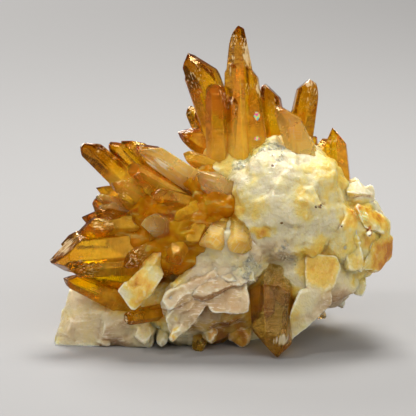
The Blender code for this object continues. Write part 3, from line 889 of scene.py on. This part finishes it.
# ---------------- the milky body
def lump_ball(lump):
    bm = bmesh.new()
    bmesh.ops.create_icosphere(bm, subdivisions=4, radius=1)
    size = Matrix.Diagonal((*(r * MM for r in lump.radii), 1))
    bm.transform(Matrix.Translation(on_face(*lump.centre)) @ SHOW_FRAME @ size)
    return bm


def block_hull(corners):
    bm = bmesh.new()
    for corner in corners:
        bm.verts.new(on_face(*corner))
    hull = bmesh.ops.convex_hull(bm, input=bm.verts[:])
    spare = [v for v in hull["geom_interior"] if isinstance(v, bmesh.types.BMVert)]
    bmesh.ops.delete(bm, geom=spare, context="VERTS")
    bmesh.ops.recalc_face_normals(bm, faces=bm.faces)
    return bm


def broken(spot, size, slope, crisp=9.0):
    """Height of flat broken facets, each about size across and tilted its own way."""
    place = spot / size
    gaps, centres = noise.voronoi(place)
    height = total = 0.0
    for gap, centre in zip(gaps, centres):
        share = math.exp(crisp * (gaps[0] - gap))
        tilt = (noise.cell_vector(centre * 3.7) - HALF).normalized()
        height += share * (place - centre).dot(tilt)
        total += share
    return height / total * size * slope


def relief(place):
    """The body's relief in metres: the solid's swellings, ledges and knobs, then facets and chips."""
    spot = place / MM
    swell = noise.noise(spot * SWELL[0]) * SWELL[1]
    ledge = noise.noise(spot * LEDGE[0]) * LEDGE[1] * 0.6
    knob = noise.noise(spot * KNOB[0]) * KNOB[1]
    facets = broken(spot, 10, 0.24, 14) + broken(spot, 4, 0.2, 14)
    chips = noise.multi_fractal(spot / 1.8, 1.0, 2.2, 3) * 0.12
    return (swell + ledge + knob + facets + chips) * MM


def crisp_relief(place):
    """The gentler relief of a crisp block's broken faces, in metres."""
    spot = place / MM
    facets = broken(spot, 7, 0.15, 16) + broken(spot, 2.8, 0.09, 14)
    chips = noise.multi_fractal(spot / 1.8, 1.0, 2.2, 3) * 0.06
    return (facets + chips - 0.1) * MM


def reworked(mass, voxel, height_at):
    """Remeshes a skin, moves it in or out by a relief, levels its foot and keeps its breaks crisp."""
    melt = mass.modifiers.new("melt", "REMESH")
    melt.mode = "VOXEL"
    melt.voxel_size = voxel * MM
    apply_modifiers(mass)
    moved = [v.co + v.normal * height_at(v.co) for v in mass.data.vertices]
    for vertex, place in zip(mass.data.vertices, moved):
        vertex.co = place
    bm = bmesh.new()
    bm.from_mesh(mass.data)
    level_foot(bm)
    bm.to_mesh(mass.data)
    bm.free()
    mass.data.shade_smooth()
    mass.data.set_sharp_from_angle(angle=SHARP_BREAK)
    return mass


def milky_mass(name):
    """The milky body: lumps and broken blocks melted together, then given its relief."""
    parts = [lump_ball(lump) for lump in LUMPS.values()]
    parts += [block_hull(corners) for corners in BLOCKS.values()]
    return reworked(mesh_object(name, parts), BODY_VOXEL, relief)


def gold_relief(place):
    """Soft swellings and shallow healed facets of the clear gold, in metres."""
    spot = place / MM
    swell = noise.noise(spot / 9) * 1.2
    return (swell + broken(spot, 7, 0.36, 16) + broken(spot, 3.2, 0.2, 14)) * MM


def gold_mass(name):
    """The clear gold: lumps melted together."""
    balls = [lump_ball(lump) for lump in GOLD_LUMPS]
    return reworked(mesh_object(name, balls), BODY_VOXEL, gold_relief)


def hull_planes(corners):
    """The faces of a block as planes in the specimen's own millimetres."""
    bm = block_hull(corners)
    planes = [(face.verts[0].co / MM, face.normal.copy()) for face in bm.faces]
    bm.free()
    return planes


def chipped_planes(planes, seed):
    """A block's planes and those of the chips that have come off its edges."""
    bm = cut_block(planes)
    draw = random.Random(seed)
    edges = [e for e in bm.edges if e.calc_length() > 2 and len(e.link_faces) == 2]
    chips = []
    for edge in draw.sample(edges, min(CHIPS_EACH, len(edges))):
        outward = sum((face.normal for face in edge.link_faces), Vector())
        outward += Vector((draw.uniform(-0.5, 0.5) for _ in range(3)))
        outward.normalize()
        place = edge.verts[0].co.lerp(edge.verts[1].co, draw.uniform(0.2, 0.8))
        chips.append((place - outward * draw.uniform(0.15, 0.9), outward))
    bm.free()
    return planes + chips


def crisp_mass(name, grown):
    """The broken ledge, the right lobe and the base: chipped blocks, worn along their edges, and milky
    points, joined. grown is a list of (seed, point)."""
    parts = worn_crystals(grown)
    for seed, corners in enumerate(CRISP_BLOCKS.values()):
        parts.append(worn_block(chipped_planes(hull_planes(corners), seed), Matrix.Scale(MM, 4)))
    return reworked(melted(name, parts), CRISP_VOXEL, crisp_relief)


# ---------------- nodes
MATHS = "ShaderNodeMath"
VECTORS = "ShaderNodeVectorMath"
RANGE = "ShaderNodeMapRange"
RAMP = "ShaderNodeValToRGB"
NOISE = "ShaderNodeTexNoise"
MAPPING = "ShaderNodeMapping"
PLACE = "ShaderNodeTexCoord"
PRINCIPLED = "ShaderNodeBsdfPrincipled"
OUTPUT = "ShaderNodeOutputMaterial"


def linear(hex_colour):
    """An sRGB hex colour as linear RGBA."""
    found = []
    for start in (1, 3, 5):
        share = int(hex_colour[start : start + 2], 16) / 255
        found.append(share / 12.92 if share <= 0.04045 else ((share + 0.055) / 1.055) ** 2.4)
    return (*found, 1.0)


def add(tree, kind, inputs=(), out=0, stops=(), **settings):
    """Adds a node with its settings and links, and returns one of its outputs. inputs are by name or in
    order, each a value, a hex colour or another node's output; stops are a ramp's (place, hex colour)."""
    node = tree.nodes.new(kind)
    for name, value in settings.items():
        setattr(node, name, value)
    for key, value in (inputs if isinstance(inputs, dict) else dict(enumerate(inputs))).items():
        if isinstance(value, bpy.types.NodeSocket):
            tree.links.new(value, node.inputs[key])
        else:
            node.inputs[key].default_value = linear(value) if isinstance(value, str) else value
    for _ in stops[2:]:
        node.color_ramp.elements.new(0.5)
    for index, (place, colour) in enumerate(stops):
        node.color_ramp.elements[index].position = place
        node.color_ramp.elements[index].color = linear(colour)
    return node.outputs[out] if node.outputs else None


# ---------------- what grows and sits on the quartz
def strewing_tree():
    """A tree that strews copies of a shape over a skin, raised or sunk, and turned at random."""
    tree = bpy.data.node_groups.new("strewn", "GeometryNodeTree")
    for kind, names in (
        ("Geometry", ("Skin",)), ("Object", ("Shape",)), ("String", ("Where",)), ("Int", ("Seed",)),
        ("Float", ("Gap", "Density", "Lift")), ("Material", ("Finish",)),
        ("Vector", ("Smallest", "Largest", "Least Turn", "Most Turn")),
    ):
        for name in names:
            tree.interface.new_socket(name, in_out="INPUT", socket_type="NodeSocket" + kind)
    tree.interface.new_socket("Strewn", in_out="OUTPUT", socket_type="NodeSocketGeometry")
    given = tree.nodes.new("NodeGroupInput").outputs
    where = {"Name": given["Where"]}
    share = add(tree, "GeometryNodeInputNamedAttribute", where, "Attribute", data_type="FLOAT")
    strewing = {
        "Mesh": given["Skin"], "Distance Min": given["Gap"], "Density Max": given["Density"],
        "Density Factor": share, "Seed": given["Seed"],
    }
    kind = "GeometryNodeDistributePointsOnFaces"
    spots = add(tree, kind, strewing, distribute_method="POISSON").node.outputs
    lift = add(tree, VECTORS, {0: spots["Normal"], "Scale": given["Lift"]}, operation="SCALE")
    moved = add(tree, "GeometryNodeSetPosition", {"Geometry": spots["Points"], "Offset": lift})
    drawn = []
    for low, high in (("Least Turn", "Most Turn"), ("Smallest", "Largest")):
        drawing = {0: given[low], 1: given[high], "Seed": given["Seed"]}
        drawn.append(add(tree, "FunctionNodeRandomValue", drawing, data_type="FLOAT_VECTOR"))
    lean, size = drawn
    turned = (spots["Rotation"], add(tree, "FunctionNodeEulerToRotation", (lean,)))
    turned = add(tree, "FunctionNodeRotateRotation", turned, rotation_space="LOCAL")
    shape = add(tree, "GeometryNodeObjectInfo", (given["Shape"],), "Geometry")
    placed = {"Points": moved, "Instance": shape, "Rotation": turned, "Scale": size}
    copies = add(tree, "GeometryNodeInstanceOnPoints", placed)
    real = add(tree, "GeometryNodeRealizeInstances", (copies,))
    finish = {"Geometry": real, "Material": given["Finish"]}
    add(tree, "NodeGroupOutput", (add(tree, "GeometryNodeSetMaterial", finish),))
    return tree


def strewn(name, tree, skin, shape, settings):
    """A plain mesh of shapes strewn over a skin, using the shape up. settings are the tree's inputs."""
    carrier = new_object(name, skin.data)
    modifier = carrier.modifiers.new("strewn", "NODES")
    modifier.node_group = tree
    sockets = {item.name: item.identifier for item in tree.interface.items_tree if item.in_out == "INPUT"}
    for key, value in {**settings, "Shape": shape}.items():
        modifier[sockets[key]] = value
    made = with_modifiers(carrier)
    bpy.data.objects.remove(carrier)
    bpy.data.objects.remove(shape)
    return new_object(name, made)


def druse_shape():
    """A stubby point, 1 across and 2 tall."""
    p = Point((0, 0, 0), (0, 2, 0), 1.0, 1.15, 12, 40, 0.4)
    return mesh_object("druse_shape", [cut_block(habit_planes(p, 5))])


# ---------------- materials
QUARTZ_IOR = 1.544


def new_material(name, *marks):
    """A bare material, its tree, and the values that it reads from a mesh's marks."""
    material = bpy.data.materials.new(name)
    material.use_nodes = True
    tree = material.node_tree
    tree.nodes.clear()
    return material, tree, *(add(tree, "ShaderNodeAttribute", out="Fac", attribute_name=m) for m in marks)


def finished(tree, relief, strength, depth, looks, soak=None):
    """Ends a quartz: a bump of its relief, its surface, and the (colour, density) that it soaks light in."""
    bump = add(tree, "ShaderNodeBump", {"Height": relief, "Strength": strength, "Distance": depth})
    quartz = {"IOR": QUARTZ_IOR, "Subsurface Weight": 1.0, "Normal": bump}
    ends = {"Surface": add(tree, PRINCIPLED, {**quartz, **looks})}
    if soak:
        ends["Volume"] = add(tree, "ShaderNodeVolumeAbsorption", soak)
    add(tree, OUTPUT, ends)


def grains(tree, size_mm, detail=3, **mapping):
    """Noise whose grains are about so many millimetres across; mapping turns and stretches them."""
    place = add(tree, PLACE, out="Object")
    if mapping:
        place = add(tree, MAPPING, {"Vector": place, **mapping})
    return add(tree, NOISE, {"Vector": place, "Scale": 1000 / size_mm, "Detail": detail})


def grown(tree, stretch, per_mm, detail):
    """Noise in a crystal's own millimetres, stretched round it and along it."""
    round_along = add(tree, "ShaderNodeUVMap", uv_map="growth")
    stretched = add(tree, MAPPING, {"Vector": round_along, "Scale": (*stretch, 1)})
    return add(tree, NOISE, {"Vector": stretched, "Scale": per_mm, "Detail": detail})


def held(tree, *spans):
    """How far several things hold at once: the product of values, each stretched from one range to another
    and clamped. A span is (value, from low, from high, to low, to high); what is left out is 0 or 1."""
    shares = [add(tree, RANGE, span) for span in spans]
    product = shares[0]
    for share in shares[1:]:
        product = add(tree, MATHS, (product, share), operation="MULTIPLY")
    return product


def heaped(tree, base, *heaps):
    """A value with others heaped on it. A heap is (value, weight), or (value, weight, its middle)."""
    for value, weight, *middle in heaps:
        if middle:
            value = add(tree, MATHS, (value, *middle), operation="SUBTRACT")
        base = add(tree, MATHS, (value, weight, base), operation="MULTIPLY_ADD")
    return base


def washed(tree, colour, *washes):
    """A colour with others laid over it in turn. A wash is (share or span, colour), or those and how."""
    for share, over, *how in washes:
        if isinstance(share, tuple):
            share = held(tree, share)
        blend = how[0] if how else "MIX"
        layers = {0: share, 6: colour, 7: over}
        colour = add(tree, "ShaderNodeMix", layers, 2, data_type="RGBA", blend_type=blend)
    return colour


def thin_lines(tree, pattern, middle, width, strength, *spans):
    """Thin lines where a pattern passes its middle, as far as the spans hold."""
    off = add(tree, MATHS, (pattern, middle), operation="SUBTRACT")
    off = add(tree, MATHS, (off,), operation="ABSOLUTE")
    return held(tree, (off, width, 0.0, 0.0, strength), *spans)


def zoned(tree, stains):
    """The strongest of several ellipsoid zones, from 0 to 1."""
    place = add(tree, PLACE, out="Object")
    strongest = 0.0
    for stain in stains:
        radii = Vector(stain.radii) * MM
        local = add(tree, VECTORS, (place, on_face(*stain.centre)), operation="SUBTRACT")
        local = add(tree, VECTORS, (local, (radii.x, radii.z, radii.y)), operation="DIVIDE")
        far = add(tree, VECTORS, (local,), "Value", operation="LENGTH")
        near = add(tree, RANGE, (far, 1.0, 0.3, 0.0, stain.strength))
        strongest = add(tree, MATHS, (near, strongest), operation="MAXIMUM")
    return strongest


def flecks(tree, zones, size_mm, stops):
    """A wash of flecks in a ramp's colours, shown in a few small zones."""
    shown = heaped(tree, zoned(tree, zones), (grains(tree, size_mm), 0.8))
    colours = add(tree, RAMP, (grains(tree, size_mm * 1.4, 0),), stops=stops)
    return held(tree, (shown, 0.9, 1.0)), colours


def frost_and_highlight_cover(tree, stretch):
    """How thick growth frost and painted highlights lie: ragged patches in their zones, combed along the
    crystal.
    """
    combed = grown(tree, (1.0, stretch), 0.8, 5)
    ragged = heaped(tree, zoned(tree, FROST_AND_HIGHLIGHT_ZONES), (combed, 1.4))
    return held(tree, (ragged, 1.2, 1.42), (combed, 0.3, 0.6, 0.5, 0.95))


def amber_quartz():
    """Iron-stained quartz: clear, from straw at the root to burnt honey at the tip, full of small veils."""
    material, tree, age, tone, prism = new_material("iron_stained_quartz", "age", "tone", "prism")
    clouds = grains(tree, 6)
    ripe = heaped(tree, age, (clouds, 0.3, 0.5), (zoned(tree, BURNT), 0.4))
    honey = ((0.1, "#f8b830"), (0.35, "#fcc238"), (0.6, "#fcc840"), (0.8, "#f6b232"), (1.0, "#bc7410"))
    body = add(tree, RAMP, (ripe,), stops=honey)
    tint = washed(tree, "#ffd050", (tone, "#fffba0"))
    # Healed cracks: small pale flecks, thickest towards the tip.
    patch = (grains(tree, 8, 1), 0.5, 0.62)
    fleck = (grown(tree, (1.0, 0.4), 1.5, 3), 0.54, 0.62)
    veil = held(tree, patch, fleck, (age, 0.45, 0.85, 0.1, 1.0))
    # Frosted growth faces, and painted highlights where faces caught the light: ragged cream patches.
    frost_and_highlight = frost_and_highlight_cover(tree, 0.4)
    split = flecks(tree, RAINBOWS, 1.0, RAINBOW)
    # Growth lines across the prism faces, a little paler than the crystal.
    steps = grown(tree, (0.12, 1.0), 0.9, 3)
    line = thin_lines(tree, steps, 0.52, 0.014, 0.5, (prism,), (clouds, 0.5, 0.62))
    # Painted shade: the colour darkens to burnt honey where faces are seen at a grazing angle, standing in
    # for the dark rims that reflection and absorption give.
    facing = add(tree, "ShaderNodeLayerWeight", (0.5,), "Facing")
    # The hazy zones also wash the amber colour paler: a painted glow where the points sit in shade.
    haze_and_glow = zoned(tree, HAZE_AND_GLOW_ZONES)
    colour = washed(
        tree, body, (0.3, tint, "MULTIPLY"), ((facing, 0.3, 0.9, 0.0, 0.7), "#9a5810"),
        (veil, "#fff0cc"), (frost_and_highlight, "#e6cfa4"), split, (line, "#ffdc80"), ((haze_and_glow, 0.0, 2.0), "#ffd874"),
    )
    for share in (frost_and_highlight, split[0], line):
        veil = add(tree, MATHS, (veil, share), operation="MAXIMUM")
    mottled = heaped(tree, age, (clouds, 0.8, 0.5))
    clear = (mottled, 0.1, 0.55, 0.34, 0.94)
    looks = {
        "Base Color": colour, "Roughness": held(tree, (clouds, 0.35, 0.7, 0.02, 0.16)),
        "Transmission Weight": held(tree, clear, (haze_and_glow, 0.0, 1.0, 1.0, 0.55), (veil, 0.0, 1.0, 1.0, 0.12)),
        "Subsurface Weight": held(tree, (veil, 0.0, 0.8, 1.0, 0.0)),
        "Subsurface Radius": (1.0, 0.7, 0.2), "Subsurface Scale": 0.003,
        "Specular IOR Level": held(tree, (age, 0.15, 0.5, 0.08, 0.32)), "Specular Tint": "#ffcc60",
    }
    relief = heaped(tree, held(tree, (steps,), (prism, 0.0, 1.0, 0.0, 0.6)), (grains(tree, 1.6, 2), 0.35))
    finished(tree, relief, 0.5, 0.0007, looks, ("#fdfc00", 650))
    return material


def pale_quartz():
    """Cloudy quartz: half clear, half milky, tinted by a trace of iron."""
    material, tree, tone, iron = new_material("cloudy_quartz", "tone", "iron")
    clouds = grains(tree, 7, 4)
    rust = heaped(tree, iron, (clouds, 0.5, 0.5))
    straw = ((0.0, "#fff0c0"), (0.3, "#fee49c"), (0.6, "#fcd470"), (0.9, "#f2bc44"))
    body = add(tree, RAMP, (rust,), stops=straw)
    # Fine tubes along the crystal, milky white, and growth lines across it.
    threads = grown(tree, (1.0, 0.14), 0.9, 4)
    steps = grown(tree, (0.12, 1.0), 0.9, 3)
    line = thin_lines(tree, steps, 0.52, 0.02, 0.6, (clouds, 0.44, 0.58))
    # Growth frost, and painted highlights on faces that caught the light.
    frost_and_highlight = frost_and_highlight_cover(tree, 0.14)
    colour = washed(
        tree, body, ((tone, 0.0, 1.0, 0.0, 0.3), "#fbe8b0"), ((threads, 0.58, 0.7, 0.0, 0.6), "#fffaf0"),
        (line, "#fff6e0"), (frost_and_highlight, "#fdf2dc"),
    )
    haze_and_glow = zoned(tree, HAZE_AND_GLOW_ZONES)
    dull = heaped(tree, clouds, (haze_and_glow, 0.5))
    looks = {
        "Base Color": colour, "Roughness": held(tree, (dull, 0.35, 1.1, 0.03, 0.5)),
        "Transmission Weight": held(tree, (haze_and_glow, 0.0, 1.2, 0.96, 0.3), (frost_and_highlight, 0.0, 1.0, 1.0, 0.4)),
        "Subsurface Radius": (1.0, 0.92, 0.4), "Subsurface Scale": 0.003,
        "Specular IOR Level": 0.35, "Specular Tint": "#ffd890",
    }
    relief = heaped(tree, grains(tree, 1.8), (threads, 0.3), (steps, 0.6))
    finished(tree, relief, 0.4, 0.0006, looks, ("#eed84c", 60))
    return material


def gold_quartz():
    """Massive quartz soaked with iron: honey gold, light glowing a few millimetres in."""
    material, tree = new_material("honey_quartz")
    clouds = grains(tree, 8, 4)
    honey = ((0.3, "#f8b820"), (0.45, "#f4a810"), (0.6, "#ea9406"), (0.75, "#cc7804"))
    body = add(tree, RAMP, (clouds,), stops=honey)
    # Brighter threads where growth layers catch the light.
    layers = grains(tree, 2.4, 3, Rotation=(0, -0.7, 0), Scale=(0.25, 0.6, 1))
    thread = held(tree, (layers, 0.55, 0.66, 0.0, 0.6))
    looks = {
        "Base Color": washed(tree, body, (thread, "#ffdf80")),
        "Roughness": held(tree, (clouds, 0.35, 0.7, 0.06, 0.3)), "Transmission Weight": 0.6,
        "Subsurface Radius": (1.0, 0.6, 0.15), "Subsurface Scale": 0.004,
        "Specular IOR Level": 0.1, "Specular Tint": "#ffc850",
    }
    relief = heaped(tree, grains(tree, 2.2), (thread, 0.5))
    finished(tree, relief, 0.5, 0.0007, looks, ("#fad040", 50))
    return material


def milky_quartz():
    """Massive milky quartz: waxy and white, light soaking a few millimetres in. Iron turns it to lemon,
    straw and then clear gold."""
    material, tree, iron, smoke_and_shade, edge = new_material("milky_quartz", "iron", "smoke_and_shade", "edge")
    wander, grit = grains(tree, 5, 4), grains(tree, 1.4, 4)
    ribs = grains(tree, 1.8, 4, Scale=(1, 1, 0.22))
    blotch = heaped(
        tree, iron, (grains(tree, 14, 5), 0.7, 0.5), (wander, 0.5, 0.5), (grit, 0.3, 0.5), (ribs, iron, 0.5)
    )
    stained = (
        (0.0, "#e2d7b2"), (0.16, "#e4d69a"), (0.32, "#e8cc68"), (0.55, "#e8c04c"), (0.8, "#dca028"),
        (1.0, "#c27a14"),
    )
    body = add(tree, RAMP, (blotch,), stops=stained)
    # Which way the skin faces; faces turned down in the smoky zones get painted shade.
    rise = add(tree, "ShaderNodeSeparateXYZ", (add(tree, PLACE, out="Normal"),), "Z")
    # Hackle lines of the breaks, about 0.8 mm apart, drawn wider than the real ones to show.
    hackle = grains(tree, 2.0, 2, Rotation=(0, 0.6, 0), Scale=(0.22, 0.5, 1))
    line = thin_lines(tree, hackle, 0.5, 0.03, 0.8, (smoke_and_shade, 0.2, 0.6), (wander, 0.42, 0.56))
    colour = washed(
        # smoky tint, which under the ledge is painted shade
        tree, body, ((smoke_and_shade, 0.0, 1.0, 0.0, 0.68), "#c08844"),
        # painted shade on faces turned down
        (held(tree, (rise, 0.0, -0.6, 0.0, 0.85), (smoke_and_shade,)), "#945e2c"),
        # a painted highlight along convex edges, painted shade in the cracks
        ((edge, 0.2, 0.8, 0.0, 0.7), "#fff6e0"), ((edge, -0.15, -0.8, 0.0, 0.65), "#ac7a34"),
        (line, "#fff4e0"), flecks(tree, SPECKS, 0.9, LIMONITE), flecks(tree, RAINBOWS, 0.8, GLINTS),
    )
    sugar = heaped(tree, grit, (grains(tree, 0.6, 2), 0.4), (line, 0.5))
    waxy = held(tree, (smoke_and_shade, 0.1, 0.5, 0.7, 0.36))
    looks = {
        "Base Color": colour, "Roughness": held(tree, (wander, 0.35, 0.65, 0.18, 0.46)),
        "Subsurface Radius": (1.0, 0.85, 0.6), "Subsurface Scale": 0.0034,
    }
    finished(tree, sugar, waxy, 0.001, looks)
    return material


# ---------------- the pieces
def place_piece(obj, material):
    obj.data.materials.clear()
    obj.data.materials.append(material)
    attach(obj, BODY)
    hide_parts(NODE)


def druse(skin, amber):
    """Sugary little points along the breaks of the body."""
    mark(skin.data, "drusy", soaked(spots_of(skin.data), DRUSY))
    settings = {
        "Where": "drusy", "Seed": 3, "Gap": 0.55 * MM, "Density": 1500000.0, "Lift": -0.45 * MM,
        "Smallest": (0.5 * MM, 0.5 * MM, 0.3 * MM), "Largest": (1.1 * MM, 1.1 * MM, 0.6 * MM),
        "Least Turn": (-0.7, -0.7, -math.pi), "Most Turn": (0.7, 0.7, math.pi),
        "Finish": skin.data.materials[0],
    }
    points = strewn("druse_points", strewing_tree(), skin, druse_shape(), settings)
    mark_stains(points.data, amber)
    return points


def build_cluster():
    small = small_points()
    listed = [(p, True) for p in AMBER_POINTS] + [(p, False) for p in PALE_POINTS] + small
    listed += [(p, False) for p in GLOBS] + [(p, True) for p in FROSTY_POINTS]
    cloudy = list(enumerate(MILKY_POINTS, MILKY_SEED))
    amber = [(seed, p) for seed, (p, stained) in enumerate(listed) if stained]
    pale = [(seed, p) for seed, (p, stained) in enumerate(listed) if not stained]
    milky = milky_quartz()
    body = milky_mass("milky_quartz_body")
    mark_stains(body.data, amber)
    place_piece(body, milky)
    place_piece(gold_mass("honey_mass"), gold_quartz())
    blocks = crisp_mass("broken_blocks", cloudy)
    mark_stains(blocks.data, amber)
    place_piece(blocks, milky)
    stained = crystal_mass("amber_points", amber)
    place_piece(stained, amber_quartz())
    place_piece(crystal_mass("pale_points", pale), pale_quartz())
    place_piece(druse(body, amber), milky)


# ---------------- studio
FRAME_WIDTH = 166.4  # of the show face, in millimetres
FRAME_MIDDLE = (-5.6, 60, 0)
CAMERA_REACH = 1.2
SENSOR = 36.0
FLOOR_REACH = 8
SKY_STRENGTH = 0.07
# Name, place, aim, size and watts.
SOFTBOXES = (
    ("top", (0.05, 0.3, 0.86), (0, 0.0, 0.05), (0.42, 0.32), 8.8),
    ("front", (0.2, -0.85, 0.75), (0, 0, 0.05), (0.8, 0.6), 4.3),
    ("left", (-0.75, -0.45, 0.45), (-0.03, 0, 0.06), (0.5, 0.5), 2.3),
    ("right", (0.8, -0.4, 0.35), (0.03, 0, 0.05), (0.5, 0.5), 2.0),
    ("far", (-0.6, 1.5, 1.1), (-0.55, 1.3, 0), (0.9, 0.8), 23.0),
    ("spark", (-0.5, -0.25, 0.9), (0, 0, 0.07), (0.1, 0.1), 1.8),
)


def add_camera():
    """Square on the show face, its long lens framing it closely."""
    camera = new_object("camera", bpy.data.cameras.new("camera"))
    camera.data.sensor_width = SENSOR
    camera.data.lens = SENSOR * CAMERA_REACH / (FRAME_WIDTH * MM)
    camera.data.clip_end = 20
    camera.matrix_world = Matrix.Translation(on_face(*FRAME_MIDDLE) + OUT * CAMERA_REACH) @ SHOW_FRAME
    bpy.context.scene.camera = camera


def add_softbox(name, place, aim, size, power):
    lamp = bpy.data.lights.new(name, "AREA")
    lamp.shape = "RECTANGLE"
    lamp.size, lamp.size_y = size
    lamp.energy = power
    box = new_object(name, lamp)
    box.location = place
    box.rotation_mode = "QUATERNION"
    box.rotation_quaternion = (Vector(aim) - Vector(place)).to_track_quat("-Z", "Y")


def add_studio():
    """A pale floor reaching past every edge of the frame, under soft boxes."""
    bm = bmesh.new()
    bmesh.ops.create_grid(bm, x_segments=1, y_segments=1, size=FLOOR_REACH)
    floor = mesh_object("paper_floor", [bm])
    material, tree = new_material("matt_paper")
    add(tree, OUTPUT, {"Surface": add(tree, PRINCIPLED, {"Base Color": "#9f9d9b", "Roughness": 0.9})})
    floor.data.materials.append(material)
    world = bpy.data.worlds.new("studio")
    world.use_nodes = True
    sky = world.node_tree.nodes["Background"]
    sky.inputs["Color"].default_value = linear("#f6eade")
    sky.inputs["Strength"].default_value = SKY_STRENGTH
    bpy.context.scene.world = world
    for box in SOFTBOXES:
        add_softbox(*box)
    scene = bpy.context.scene
    scene.view_settings.view_transform = "Standard"
    scene.cycles.use_denoising = True
    scene.cycles.max_bounces = 24
    scene.cycles.transmission_bounces = 20
    scene.cycles.transparent_max_bounces = 16


build_cluster()
add_camera()
add_studio()
